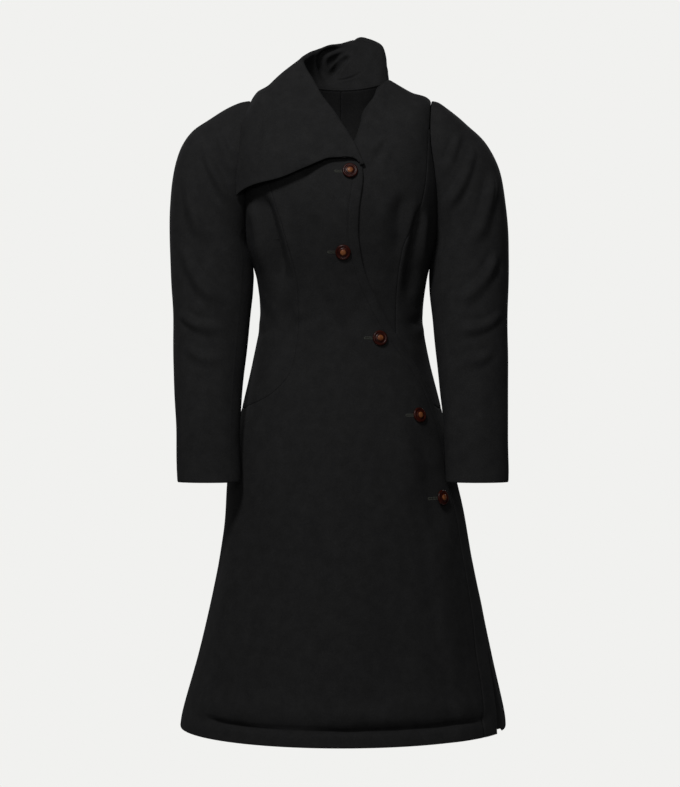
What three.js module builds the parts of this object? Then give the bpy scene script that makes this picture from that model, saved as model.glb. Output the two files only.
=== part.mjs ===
// Coat on a general figure, in millimetres: x to the wearer's left, y to the back, z up.
// The origin is the middle of the neck base, where the shoulders hold the coat.
// An angle runs round the body (0 front, 90 wearer's left, 180 back), a level runs from 0 at the neckline
// to 16 at the hem. Every piece of cloth is a wall between two grids of points.
import * as THREE from "three";

const CLOTH = 3;
const SEAM_GAP = 0.4;
const LAP_GAP = 1.6;
const LAP = CLOTH + LAP_GAP;
const ARMHOLE_TOP = 2;
const ARMHOLE_BOTTOM = 5;
const ARMHOLE_STEPS = 13;
const ARMHOLE_REACH = 23.5;
const POCKET = 9.15;
const WOOL = 0x1b1c20;
const RESIN = 0x4a1c10;

// Loops of the body's outer surface: heights at the side, front and back, half widths and depths.
const SECTIONS = [
  { sideZ: 36, frontZ: -8, backZ: 28, right: 84, left: 84, front: 58, back: 62, full: 0 },
  { sideZ: 14, frontZ: -58, backZ: -12, right: 122, left: 122, front: 80, back: 84, full: 0.05 },
  { sideZ: -4, frontZ: -104, backZ: -56, right: 158, left: 158, front: 104, back: 98, full: 0.12 },
  { sideZ: -72, frontZ: -146, backZ: -110, right: 170, left: 170, front: 122, back: 106, full: 0.2 },
  { sideZ: -160, frontZ: -196, backZ: -172, right: 176, left: 176, front: 130, back: 108, full: 0.22 },
  { sideZ: -254, frontZ: -254, backZ: -254, right: 166, left: 166, front: 123, back: 104, full: 0.2 },
  { sideZ: -315, frontZ: -315, backZ: -315, right: 147, left: 150, front: 110, back: 97, full: 0.16 },
  { sideZ: -385, frontZ: -385, backZ: -385, right: 142, left: 143, front: 101, back: 92, full: 0.14 },
  { sideZ: -455, frontZ: -455, backZ: -455, right: 154, left: 154, front: 109, back: 104, full: 0.12 },
  { sideZ: -525, frontZ: -525, backZ: -525, right: 170, left: 172, front: 123, back: 122, full: 0.1 },
  { sideZ: -612, frontZ: -612, backZ: -612, right: 191, left: 192, front: 140, back: 142, full: 0.08 },
  { sideZ: -668, frontZ: -668, backZ: -668, right: 199, left: 201, front: 148, back: 150, full: 0.06 },
  { sideZ: -752, frontZ: -752, backZ: -752, right: 205, left: 219, front: 158, back: 160, full: 0.04 },
  { sideZ: -857, frontZ: -857, backZ: -857, right: 224, left: 240, front: 170, back: 172, full: 0.02 },
  { sideZ: -962, frontZ: -962, backZ: -962, right: 248, left: 262, front: 184, back: 184, full: 0 },
  { sideZ: -1060, frontZ: -1060, backZ: -1060, right: 275, left: 284, front: 199, back: 198, full: 0 },
  { sideZ: -1092, frontZ: -1092, backZ: -1092, right: 281, left: 288, front: 205, back: 203, full: 0 },
].map((row, level) => ({ level, ...row }));

// The right front's free edge below the break of the lapel.
const OVERLAP = [
  { level: 2.565, angle: 12 },
  { level: 3.2, angle: 12.3 },
  { level: 4.2, angle: 9.8 },
  { level: 5.1, angle: 10.6 },
  { level: 6, angle: 16.4 },
  { level: 6.8, angle: 28.8 },
  { level: 7.6, angle: 43 },
  { level: 8.3, angle: 55.6 },
  { level: 9.3, angle: 66.2 },
  { level: 10.3, angle: 73 },
  { level: 11.4, angle: 78 },
  { level: 13, angle: 76 },
  { level: 14.2, angle: 71 },
  { level: 15.2, angle: 66.3 },
  { level: 16, angle: 65.7 },
];

// The right front's neck edge, where the collar and lapel are sewn on.
const NECK_RIGHT = [
  { level: 0, angle: -58 },
  { level: 0.2, angle: -37 },
  { level: 0.78, angle: -12 },
  { level: 1.2, angle: -4.5 },
  { level: 1.65, angle: 1.8 },
  { level: 2.1, angle: 5.5 },
  { level: 2.372, angle: 7.5 },
  { level: 2.648, angle: 11.8 },
];

// The left front's own edge: its neckline first, then the hidden edge under the right front.
const UNDERLAP = [
  { level: 0, angle: 50 },
  { level: 0.35, angle: 25 },
  { level: 0.8, angle: 16.3 },
  { level: 1.5, angle: 7.6 },
  { level: 2.2, angle: -2 },
  { level: 2.8, angle: -9 },
  { level: 3.4, angle: -12 },
  { level: 4.2, angle: -13 },
  { level: 5.1, angle: -12.5 },
  { level: 6, angle: -7.5 },
  { level: 6.8, angle: 2 },
  { level: 7.6, angle: 15.7 },
  { level: 8.3, angle: 26.6 },
  { level: 9.3, angle: 36 },
  { level: 10.3, angle: 40.5 },
  { level: 11.4, angle: 45 },
  { level: 14.2, angle: 46.2 },
  { level: 16, angle: 44.5 },
];

// Princess seams from the armhole to the pocket line, as angles away from the front.
const PRINCESS = [
  { level: 2.565, right: 65.2, left: 65.2 },
  { level: 2.849, right: 60.5, left: 62.8 },
  { level: 3.2, right: 51.5, left: 59.5 },
  { level: 3.8, right: 43, left: 55 },
  { level: 4.5, right: 36.6, left: 48.5 },
  { level: 5, right: 34, left: 41.5 },
  { level: 5.5, right: 32.3, left: 39.8 },
  { level: 6.2, right: 30.9, left: 40.2 },
  { level: 6.9, right: 31.2, left: 41 },
  { level: 7.7, right: 31.3, left: 39.6 },
  { level: 8.2, right: 32.6, left: 39.2 },
  { level: 8.5, right: 35.8, left: 41.5 },
  { level: 8.8, right: 43.5, left: 48 },
  { level: 8.95, right: 51, left: 54 },
  { level: 9.06, right: 61.6, left: 63 },
  { level: 9.15, right: 73, left: 73 },
];

const v = (x, y, z) => new THREE.Vector3(x, y, z);
const radians = (degrees) => (degrees * Math.PI) / 180;
const mix = (a, b, t) => a + (b - a) * t;

function smooth(from, to, at) {
  const t = Math.min(1, Math.max(0, (at - from) / (to - from)));
  return t * t * (3 - 2 * t);
}

// A smooth curve through one column of a table.
function curve(rows, by, key, at) {
  let i = 0;
  while (i < rows.length - 2 && at > rows[i + 1][by]) i += 1;
  const slope = (k) => {
    const a = rows[Math.max(k - 1, 0)];
    const b = rows[Math.min(k + 1, rows.length - 1)];
    return (b[key] - a[key]) / (b[by] - a[by]);
  };
  const [a, b] = [rows[i], rows[i + 1]];
  const span = b[by] - a[by];
  const t = (at - a[by]) / span;
  const h = t * t * (3 - 2 * t);
  const start = slope(i) * span * t * (1 - t) * (1 - t);
  const end = slope(i + 1) * span * t * t * (1 - t);
  return mix(a[key], b[key], h) + start - end;
}

// The crease above the front hem: a trough, with the band below it turned out.
function hemCrease(angle, z) {
  const window = smooth(-68, -48, angle) * (1 - smooth(50, 64, angle));
  const trough = Math.exp(-(((z + 1062) / 9) ** 2));
  const above = Math.exp(-(((z + 1036) / 14) ** 2));
  return window * (3 * above - 7 * trough);
}

function bareBody(angle, level) {
  const at = (key) => curve(SECTIONS, "level", key, level);
  const s = Math.sin(radians(angle));
  const c = Math.cos(radians(angle));
  const endZ = c > 0 ? at("frontZ") : at("backZ");
  const width = s < 0 ? at("right") : at("left");
  const depth = c > 0 ? at("front") : at("back");
  return v(width * s, -depth * c * (1 + at("full") * s * s), endZ + (at("sideZ") - endZ) * s * s);
}

function bodyNormal(angle, level) {
  const round = bareBody(angle + 0.5, level).sub(bareBody(angle - 0.5, level));
  const down = bareBody(angle, level + 0.02).sub(bareBody(angle, level - 0.02));
  return round.cross(down).normalize().negate();
}

// A point of the body's outer surface, moved out by a distance.
function body(angle, level, out = 0) {
  const p = bareBody(angle, level);
  return p.addScaledVector(bodyNormal(angle, level), out + hemCrease(angle, p.z));
}

// Millimetres along the surface for one degree.
function millimetresPerDegree(angle, level) {
  return bareBody(angle + 0.5, level).distanceTo(bareBody(angle - 0.5, level));
}

function armholeRise(level) {
  const share = (level - ARMHOLE_TOP) / (ARMHOLE_BOTTOM - ARMHOLE_TOP);
  return Math.acos(Math.min(1, Math.max(-1, 1 - 2 * share)));
}

// How far the armhole opens from the side line, in degrees.
function armholeOpening(level) {
  if (level <= ARMHOLE_TOP || level >= ARMHOLE_BOTTOM) return 0;
  const turn = armholeRise(level);
  return ARMHOLE_REACH * Math.sin(turn) ** 0.85 * (1 + 0.32 * Math.cos(turn));
}

const sideFront = (level) => 90 - armholeOpening(level);
const sideBack = (level) => 90 + armholeOpening(level);
const armholeLevel = (step) =>
  ARMHOLE_TOP + ((ARMHOLE_BOTTOM - ARMHOLE_TOP) * (1 - Math.cos((Math.PI * step) / ARMHOLE_STEPS))) / 2;

// The underlapping layer shifts the right front outwards, ramped before the hidden edge.
function lapOffset(angle, level) {
  const hidden = curve(UNDERLAP, "level", "angle", level);
  const past = (angle - hidden) * millimetresPerDegree(angle, level);
  return LAP * smooth(-30, -5, past);
}

const rightFront = (angle, level, out = 0) => body(angle, level, lapOffset(angle, level) + out);

// The left front's neck edge rolls softly inwards.
function leftFront(angle, level, out = 0) {
  const edge = curve(UNDERLAP, "level", "angle", level);
  const past = (angle - edge) * millimetresPerDegree(angle, level);
  const roll = smooth(0, 0.2, level) * (1 - smooth(1.5, 2.4, level)) * Math.max(0, 1 - past / 22) ** 2;
  return body(angle, level, out - 14 * roll);
}

// Body levels that every panel shares, so that the seams match.
const LEVELS = [
  ...[0, 0.35, 0.8, 1.2, 1.6],
  ...Array.from({ length: ARMHOLE_STEPS + 1 }, (_, step) => armholeLevel(step)),
  ...[5.4, 5.9, 6.4, 6.9, 7.4, 7.85, 8.25, 8.55, 8.8, 8.95, 9.06, 9.15, 9.163, 9.6, 10.1, 10.7, 11.4],
  ...[12.1, 12.8, 13.5, 14.2, 14.65, 14.88, 15, 15.3, 15.65, 16],
];

// Closes two grids of points into one wall.
function wall(name, outer, inner) {
  const rows = outer.length;
  const columns = outer[0].length;
  const points = [...outer.flat(), ...inner.flat()];
  const id = (layer, row, column) => layer * rows * columns + row * columns + column;
  const index = [];
  const face = (a, b, c, d) => index.push(a, b, c, a, c, d);
  const across = columns - 1;
  for (let r = 0; r < rows - 1; r += 1) {
    for (let c = 0; c < across; c += 1) {
      face(id(0, r, c), id(0, r + 1, c), id(0, r + 1, c + 1), id(0, r, c + 1));
      face(id(1, r, c), id(1, r, c + 1), id(1, r + 1, c + 1), id(1, r + 1, c));
    }
    face(id(0, r, 0), id(1, r, 0), id(1, r + 1, 0), id(0, r + 1, 0));
    face(id(0, r, across), id(0, r + 1, across), id(1, r + 1, across), id(1, r, across));
  }
  for (let c = 0; c < across; c += 1) {
    const last = rows - 1;
    face(id(0, 0, c), id(0, 0, c + 1), id(1, 0, c + 1), id(1, 0, c));
    face(id(0, last, c), id(1, last, c), id(1, last, c + 1), id(0, last, c + 1));
  }
  return meshOf(name, points, index, WOOL);
}

function meshOf(name, points, index, colour) {
  const geometry = new THREE.BufferGeometry().setFromPoints(points);
  geometry.setIndex(index);
  geometry.computeVertexNormals();
  const mesh = new THREE.Mesh(geometry, new THREE.MeshStandardMaterial({ color: colour, roughness: 0.9 }));
  mesh.name = name;
  return mesh;
}

// Pulls one edge of a grid back from its seam, along the surface.
function trimEdge(grid, column, inwards, gap) {
  const edge = grid.map((row) => row[column].clone());
  grid.forEach((row, r) => {
    const tangent = edge[Math.min(r + 1, edge.length - 1)].clone().sub(edge[Math.max(r - 1, 0)]).normalize();
    const away = inwards(row, r);
    away.addScaledVector(tangent, -away.dot(tangent)).normalize();
    row[column].addScaledVector(away, gap / 2);
  });
}

// Angles of a row, in fixed shares between its two edges.
function spread(left, right, count) {
  return Array.from({ length: count + 1 }, (_, k) => mix(left, right, k / count));
}

function trimSides(grid, gap = SEAM_GAP) {
  const last = grid[0].length - 1;
  trimEdge(grid, 0, (row) => row[1].clone().sub(row[0]), gap);
  trimEdge(grid, last, (row) => row[last - 1].clone().sub(row[last]), gap);
}

function panel({ name, surface, left, right, levels, angles }) {
  const stations = (level) => angles(left(level), right(level), level);
  const rowOf = (level, out) => stations(level).map((angle) => surface(angle, level, out));
  const grid = (out) => levels.map((level) => rowOf(level, out));
  const outer = grid(0);
  const inner = grid(-CLOTH);
  [outer, inner].forEach((side) => trimSides(side));
  return wall(name, outer, inner);
}

const between = (from, to) => LEVELS.filter((level) => level >= from - 1e-6 && level <= to + 1e-6);
const PRINCESS_START = armholeLevel(4);
const princess = (key) => (level) => curve(PRINCESS, "level", key, level);
const BREAK = PRINCESS_START;

function frontSide(key) {
  return (level) => {
    if (level < PRINCESS_START - 1e-6 || level > POCKET + 1e-6) return sideFront(level);
    return princess(key)(level);
  };
}

const rightFrontLeftEdge = (level) => -frontSide("right")(level);
const rightFrontEdge = (level) =>
  level < BREAK ? curve(NECK_RIGHT, "level", "angle", level) : curve(OVERLAP, "level", "angle", level);
const underlapEdge = (level) => curve(UNDERLAP, "level", "angle", level);

// The overlapping front has columns that follow the hidden edge, so that the ramp is exact.
function rightFrontAngles(left, right, level) {
  const scale = millimetresPerDegree(right, level);
  const hidden = underlapEdge(level);
  const start = Math.min(Math.max(hidden - 30 / scale, left + 1), mix(left, right, 0.6));
  const end = Math.min(Math.max(hidden - 4 / scale, start + 1), mix(start, right, 0.5));
  return [...spread(left, start, 6), mix(start, end, 0.5), ...spread(end, right, 4)];
}

function fronts() {
  const small = between(PRINCESS_START, POCKET);
  return [
    panel({
      name: "front_right",
      surface: rightFront,
      left: rightFrontLeftEdge,
      right: rightFrontEdge,
      levels: LEVELS,
      angles: rightFrontAngles,
    }),
    panel({
      name: "side_front_right",
      surface: rightFront,
      left: (level) => -sideFront(level),
      right: (level) => -princess("right")(level),
      levels: small,
      angles: (a, b) => spread(a, b, 4),
    }),
    panel({
      name: "front_left",
      surface: leftFront,
      left: underlapEdge,
      right: frontSide("left"),
      levels: LEVELS,
      angles: (a, b) => [a, mix(a, b, 0.08), ...spread(mix(a, b, 0.2), b, 5)],
    }),
    panel({
      name: "side_front_left",
      surface: body,
      left: princess("left"),
      right: sideFront,
      levels: small,
      angles: (a, b) => spread(a, b, 4),
    }),
  ];
}

function backs() {
  return [-1, 1].map((side) =>
    panel({
      name: side < 0 ? "back_right" : "back_left",
      surface: body,
      left: (level) => (side < 0 ? -180 : sideBack(level)),
      right: (level) => (side < 0 ? -sideBack(level) : 180),
      levels: LEVELS,
      angles: (a, b) => spread(a, b, 6),
    }),
  );
}

// Sleeve rings as distances from the middle: their outermost and innermost points and their depths.
const SLEEVES = {
  right: [
    { outX: 160, outZ: -5, inX: 168, inZ: -254, y: 0, front: 68, back: 66 },
    { outX: 177, outZ: -12, inX: 168.8, inZ: -256, y: 0, front: 69, back: 68 },
    { outX: 201, outZ: -22, inX: 168.8, inZ: -259, y: 0, front: 69, back: 69 },
    { outX: 230, outZ: -38, inX: 168.2, inZ: -263, y: -1, front: 69, back: 69 },
    { outX: 256, outZ: -57, inX: 167, inZ: -268, y: -2, front: 68, back: 69 },
    { outX: 275, outZ: -82, inX: 164.8, inZ: -275, y: -3, front: 67, back: 68 },
    { outX: 286.5, outZ: -112, inX: 161.8, inZ: -284, y: -4, front: 66, back: 66 },
    { outX: 293, outZ: -148, inX: 158.6, inZ: -295, y: -6, front: 65, back: 64 },
    { outX: 295.5, outZ: -189, inX: 156, inZ: -307, y: -8, front: 64, back: 62 },
    { outX: 295, outZ: -232, inX: 155.5, inZ: -323, y: -11, front: 63, back: 61 },
    { outX: 294, outZ: -276, inX: 156, inZ: -344, y: -16, front: 62, back: 60 },
    { outX: 292, outZ: -322, inX: 158.5, inZ: -370, y: -22, front: 60, back: 58 },
    { outX: 289, outZ: -370, inX: 162, inZ: -402, y: -30, front: 57, back: 55 },
    { outX: 286.5, outZ: -420, inX: 166, inZ: -438, y: -39, front: 54, back: 52 },
    { outX: 284.5, outZ: -472, inX: 170, inZ: -480, y: -51, front: 50, back: 47 },
    { outX: 282, outZ: -526, inX: 173, inZ: -529, y: -64, front: 46, back: 42 },
    { outX: 279, outZ: -578, inX: 175, inZ: -579, y: -76, front: 43, back: 38 },
    { outX: 276.5, outZ: -628, inX: 174, inZ: -628, y: -85, front: 40, back: 36 },
    { outX: 275, outZ: -663, inX: 172, inZ: -663, y: -92, front: 39, back: 35 },
  ],
  left: [
    { outX: 160, outZ: -5, inX: 168, inZ: -254, y: 0, front: 68, back: 66 },
    { outX: 171, outZ: -12, inX: 168.9, inZ: -256, y: 0, front: 69, back: 68 },
    { outX: 190, outZ: -25, inX: 169, inZ: -259, y: 0, front: 69, back: 69 },
    { outX: 215, outZ: -43, inX: 168.6, inZ: -263, y: -1, front: 69, back: 69 },
    { outX: 240, outZ: -66, inX: 167.6, inZ: -268, y: -2, front: 68, back: 69 },
    { outX: 259, outZ: -92, inX: 165.8, inZ: -275, y: -3, front: 67, back: 68 },
    { outX: 273, outZ: -122, inX: 163, inZ: -284, y: -4, front: 66, back: 66 },
    { outX: 282, outZ: -156, inX: 160, inZ: -295, y: -6, front: 65, back: 64 },
    { outX: 287, outZ: -194, inX: 157.6, inZ: -307, y: -8, front: 64, back: 62 },
    { outX: 289, outZ: -235, inX: 157, inZ: -323, y: -11, front: 63, back: 61 },
    { outX: 288.5, outZ: -278, inX: 157.5, inZ: -344, y: -16, front: 62, back: 60 },
    { outX: 287.5, outZ: -323, inX: 159.5, inZ: -370, y: -22, front: 60, back: 58 },
    { outX: 286.5, outZ: -370, inX: 162.5, inZ: -402, y: -30, front: 57, back: 55 },
    { outX: 285, outZ: -420, inX: 166, inZ: -438, y: -39, front: 54, back: 52 },
    { outX: 284, outZ: -472, inX: 170, inZ: -480, y: -51, front: 50, back: 47 },
    { outX: 283, outZ: -526, inX: 174, inZ: -529, y: -64, front: 46, back: 42 },
    { outX: 282.5, outZ: -578, inX: 178, inZ: -579, y: -76, front: 43, back: 38 },
    { outX: 282, outZ: -628, inX: 180, inZ: -628, y: -85, front: 40, back: 36 },
    { outX: 281.5, outZ: -663, inX: 180, inZ: -663, y: -92, front: 39, back: 35 },
  ],
};
Object.values(SLEEVES).forEach((rings) => rings.forEach((ring, at) => Object.assign(ring, { at })));
const RINGS = SLEEVES.right.length;

// The largest folds of the sleeves, as seen from the front: a line, its half width and its depth.
const SLEEVE_FOLDS = {
  right: [
    { fromX: 268, fromZ: -120, toX: 262, toZ: -240, width: 12, depth: 7 },
    { fromX: 262, fromZ: -240, toX: 196, toZ: -400, width: 13, depth: 8 },
    { fromX: 222, fromZ: -80, toX: 172, toZ: -200, width: 11, depth: 5 },
  ],
  left: [
    { fromX: 220, fromZ: -180, toX: 196, toZ: -240, width: 16, depth: 6 },
    { fromX: 160, fromZ: -366, toX: 214, toZ: -366, width: 10, depth: 7 },
  ],
};

function nearLine(x, z, line) {
  const [dx, dz] = [line.toX - line.fromX, line.toZ - line.fromZ];
  const along = ((x - line.fromX) * dx + (z - line.fromZ) * dz) / (dx * dx + dz * dz);
  const t = Math.min(1, Math.max(0, along));
  return Math.hypot(x - line.fromX - dx * t, z - line.fromZ - dz * t);
}

function foldDepth(folds, x, z) {
  const one = (fold) => fold.depth * Math.exp(-((nearLine(x, z, fold) / fold.width) ** 2));
  return folds.reduce((sum, fold) => sum + one(fold), 0);
}

// The armhole's own loop, from the top down the front, then up the back.
function armholePoint(side, step) {
  const steps = 2 * ARMHOLE_STEPS;
  const down = step <= ARMHOLE_STEPS;
  const level = armholeLevel(down ? step : steps - step);
  return body(side * (down ? sideFront(level) : sideBack(level)), level);
}

// The first rings pass from the armhole's own outline into the sleeve's.
const JOINED_RINGS = 3;

// A sleeve's two seams, as steps round the armhole: under the arm in front, and behind the elbow.
const FRONT_SEAM = 10;
const BACK_SEAM = 18;
const SLEEVE_GAP = 0.7;

function sleeve(key) {
  const side = key === "right" ? -1 : 1;
  const steps = 2 * ARMHOLE_STEPS;
  const centre = v(side * 160, 0, -130);
  const armhole = Array.from({ length: steps }, (_, step) => armholePoint(side, step));
  const ringPoint = (at, step) => {
    const turn = (2 * Math.PI * step) / steps;
    const ring = SLEEVES[key][at];
    const half = (1 + Math.cos(turn)) / 2;
    const depth = Math.sin(turn) > 0 ? ring.front : ring.back;
    const x = side * mix(ring.inX, ring.outX, half);
    const out = v(x, ring.y - depth * Math.sin(turn), mix(ring.inZ, ring.outZ, half));
    out.lerpVectors(armhole[step], out, smooth(-1, JOINED_RINGS, at)).setX(x);
    const shade = Math.max(0, Math.sin(turn)) ** 0.5 * smooth(0.5, 3, at);
    out.y += foldDepth(SLEEVE_FOLDS[key], Math.abs(out.x), out.z) * shade;
    return out;
  };
  const outer = [armhole.map((p) => p.clone().add(v(side * SEAM_GAP, 0, 0)))];
  for (let at = 1; at < RINGS; at += 1) outer.push(armhole.map((_, step) => ringPoint(at, step)));
  const inner = offsetGrid(outer, side * CLOTH, true);
  inner[0] = outer[0].map((p) => p.clone().add(centre.clone().sub(p).setX(0).setLength(CLOTH)));
  const part = (name, from, to) => {
    const columns = Array.from({ length: to - from + 1 }, (_, k) => (from + k) % steps);
    if (side < 0) columns.reverse();
    const [face, back] = [outer, inner].map((grid) => grid.map((row) => columns.map((c) => row[c].clone())));
    [face, back].forEach((grid) => trimSides(grid, SLEEVE_GAP));
    return wall(name, face, back);
  };
  return [
    part("top_sleeve_" + key, BACK_SEAM, steps + FRONT_SEAM),
    part("under_sleeve_" + key, FRONT_SEAM, BACK_SEAM),
  ];
}

// Moves a grid along its own normals, worked out from its neighbours.
function offsetGrid(grid, distance, looped = false) {
  const last = grid.length - 1;
  const columns = grid[0].length;
  return grid.map((row, r) =>
    row.map((p, c) => {
      const next = looped ? row[(c + 1) % columns] : row[Math.min(c + 1, columns - 1)];
      const before = looped ? row[(c + columns - 1) % columns] : row[Math.max(c - 1, 0)];
      const round = next.clone().sub(before);
      const down = grid[Math.min(r + 1, last)][c].clone().sub(grid[Math.max(r - 1, 0)][c]);
      return p.clone().addScaledVector(round.cross(down).normalize(), distance);
    }),
  );
}

const COLLAR_GAP = 0.9;

// The collar's sections from the break of the lapel, over the right shoulder and round the back to the
// left side: where its base is sewn on, the top of its roll, its free edge as a place over the body with a
// lift, how full the fall is, and how far the section stands up unrolled.
const COLLAR = [
  { base: 0, sewn: 2.64, x: 38, y: -123, z: -128, edge: 7, edgeLevel: 2.33, lift: 12 },
  { base: 0, sewn: 2.25, x: 27, y: -114, z: -101, edge: -8.3, edgeLevel: 2.53, lift: 14, bulge: 1 },
  { base: 0, sewn: 1.95, x: 15.5, y: -103, z: -79, edge: -19.7, edgeLevel: 3, lift: 16, bulge: 2 },
  { base: 0, sewn: 1.5, x: 1.6, y: -93, z: -57, edge: -38, edgeLevel: 3.6, lift: 18, bulge: 3 },
  { base: 0, sewn: 1, x: -10.3, y: -82, z: -36, edge: -71, edgeLevel: 4.1, lift: 25 },
  { base: 0, sewn: 0.62, x: -24, y: -69, z: -15, edge: -70.5, edgeLevel: 3.3, lift: 25 },
  { base: 0, sewn: 0.33, x: -36, y: -57, z: 4, edge: -71.5, edgeLevel: 2.8, lift: 25, bulge: 2 },
  { base: 0, sewn: 0.12, x: -50, y: -40, z: 31, edge: -69.5, edgeLevel: 2.3, lift: 20, bulge: 3 },
  { base: -60, sewn: 0, x: -62.6, y: -18, z: 56, edge: -73.5, edgeLevel: 1.8, lift: 12, bulge: 4 },
  { base: -81, sewn: 0, x: -66.6, y: 5, z: 74, edge: -88, edgeLevel: 1.38, lift: 6, bulge: 4 },
  { base: -101, sewn: 0, x: -54, y: 26, z: 89, edge: -110, edgeLevel: 1.25, lift: 6, bulge: 4 },
  { base: -123, sewn: 0, x: -39.5, y: 44, z: 99, edge: -130, edgeLevel: 1.2, lift: 7, bulge: 4 },
  { base: -145, sewn: 0, x: -21, y: 58, z: 109, edge: -150, edgeLevel: 1.1, lift: 9, bulge: 3, upright: 0.2 },
  { base: -168, sewn: 0, x: -2, y: 68, z: 119, edge: -168, edgeLevel: 0.9, lift: 9, bulge: 2, upright: 0.6 },
  { base: -190, sewn: 0, x: 26, y: 74, z: 130, edge: -188, edgeLevel: 0.6, lift: 10, upright: 0.93 },
  { base: -212, sewn: 0, x: 52, y: 62, z: 120, edge: -210, edgeLevel: 0.5, lift: 10, upright: 1 },
  { base: -236, sewn: 0, x: 71, y: 45, z: 107, edge: -234, edgeLevel: 0.5, lift: 10, upright: 1 },
  { base: -255, sewn: 0, x: 77.7, y: 26, z: 88.7, edge: -254, edgeLevel: 0.5, lift: 10, upright: 1 },
  { base: -268, sewn: 0, x: 78.5, y: 9, z: 68, edge: -268, edgeLevel: 0.5, lift: 10, upright: 1 },
  { base: -277, sewn: 0, x: 81, y: -4, z: 54, edge: -277, edgeLevel: 0.5, lift: 10, upright: 1 },
].map((row, at) => ({ at, bulge: 0, upright: 0, ...row }));
const LAPEL_POINT = 4;
const LAPEL_ROWS = 8;
const ROLL_RADIUS = 4.5;
const BREAK_RADIUS = 3;
const STAND_STATIONS = [0.12, 0.4, 0.7, 1];
const ROLL_STATIONS = [-45, 0, 45, 90];
const FALL_STATIONS = [0.18, 0.38, 0.6, 0.8, 1];
const UPRIGHT_STATIONS = [0.09, 0.3, 0.55, 0.75, 0.8, 0.84, 0.87, 0.9, 0.92, 0.94, 0.96, 0.98, 1];

// The deep tilted fold where the rolled part of the collar turns into the upright part.
const HOLLOW = { x: -8, z: 80, tilt: 62, halfLength: 27, halfWidth: 14, depth: 18 };

// The free edge has a corner at the lapel's point, so each side of it is a curve of its own.
function collarColumn(key, at) {
  if (!key.startsWith("edge")) return curve(COLLAR, "at", key, at);
  const rows = at < LAPEL_POINT ? COLLAR.slice(0, LAPEL_POINT + 1) : COLLAR.slice(LAPEL_POINT);
  return curve(rows, "at", key, at);
}

function rollPoint(at) {
  return v(collarColumn("x", at), collarColumn("y", at), collarColumn("z", at));
}

// The lapel's base lies on the right front's neck edge, the rest on the neckline.
function basePlace(at) {
  const level = Math.max(0, collarColumn("sewn", at));
  const angle = at < LAPEL_ROWS ? curve(NECK_RIGHT, "level", "angle", level) : collarColumn("base", at);
  return [angle, level];
}

// A place over the body, lifted forwards over the chest rather than sideways.
function over(angle, level, lift) {
  const normal = bodyNormal(angle, level);
  normal.x *= 0.25;
  return body(angle, level).addScaledVector(normal.normalize(), lift);
}

function collarBase(at, out) {
  const [angle, level] = basePlace(at);
  const p = rightFront(angle, level, out);
  const away = rollPoint(at).sub(p);
  const normal = bodyNormal(angle, level);
  away.addScaledVector(normal, -away.dot(normal)).setLength(COLLAR_GAP);
  return p.add(away);
}

function collarFold(at, foot, roll, outwards, up) {
  const radius = mix(BREAK_RADIUS, ROLL_RADIUS, smooth(0, 3, at));
  const centre = roll.clone().addScaledVector(up, -radius);
  const turned = (degrees) =>
    centre
      .clone()
      .addScaledVector(up, radius * Math.cos(radians(degrees)))
      .addScaledVector(outwards, radius * Math.sin(radians(degrees)));
  const stand = STAND_STATIONS.map((share) => foot.clone().lerp(turned(-90), share));
  const bend = ROLL_STATIONS.map(turned);
  const [angle, level] = basePlace(at);
  const start = LAP + 5;
  const jump = turned(90).sub(over(angle, level, start));
  const fall = FALL_STATIONS.map((share) => {
    const bulge = collarColumn("bulge", at) * Math.sin(Math.PI * share);
    const lift = mix(start, collarColumn("lift", at), share) + bulge;
    const place = over(
      mix(angle, collarColumn("edge", at), share),
      mix(level, collarColumn("edgeLevel", at), share),
      lift,
    );
    return place.addScaledVector(jump, (1 - share) ** 1.4);
  });
  return [...stand, ...bend, ...fall];
}

function collarSection(at) {
  const foot = collarBase(at, -CLOTH / 2);
  const roll = rollPoint(at);
  const before = rollPoint(Math.max(at - 0.3, 0));
  const along = rollPoint(Math.min(at + 0.3, COLLAR.length - 1)).sub(before).normalize();
  const up = roll.clone().sub(foot);
  up.addScaledVector(along, -up.dot(along)).normalize();
  const outwards = along.clone().cross(up).normalize();
  if (outwards.dot(bodyNormal(...basePlace(at))) < 0) outwards.negate();
  const folded = collarFold(at, foot, roll, outwards, up);
  const standing = Math.min(1, Math.max(0, collarColumn("upright", at)));
  const section = folded.map((p, k) => p.lerp(foot.clone().lerp(roll, UPRIGHT_STATIONS[k]), standing));
  section.forEach((p) => {
    const place = new THREE.Vector2(p.x - HOLLOW.x, p.z - HOLLOW.z);
    place.rotateAround(new THREE.Vector2(), -radians(HOLLOW.tilt));
    const near = (place.x / HOLLOW.halfLength) ** 2 + (place.y / HOLLOW.halfWidth) ** 2;
    if (p.y > 0) p.y += HOLLOW.depth * Math.exp(-near);
  });
  return [foot, ...section];
}

function collar() {
  const stations = Array.from({ length: 2 * COLLAR.length - 1 }, (_, k) => k / 2);
  const middle = stations.map(collarSection);
  const outer = offsetGrid(middle, -CLOTH / 2);
  const inner = offsetGrid(middle, CLOTH / 2);
  stations.forEach((at, r) => {
    outer[r][0] = collarBase(at, 0);
    inner[r][0] = collarBase(at, -CLOTH);
  });
  return wall("collar", outer, inner);
}

const BUTTONS = [
  { angle: 5.1, level: 2.9 },
  { angle: 1.2, level: 5.35 },
  { angle: 25.9, level: 7.5 },
  { angle: 46.6, level: 9.3 },
  { angle: 54.9, level: 11.3 },
];
const BUTTON_SEAT = 0.35;

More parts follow.
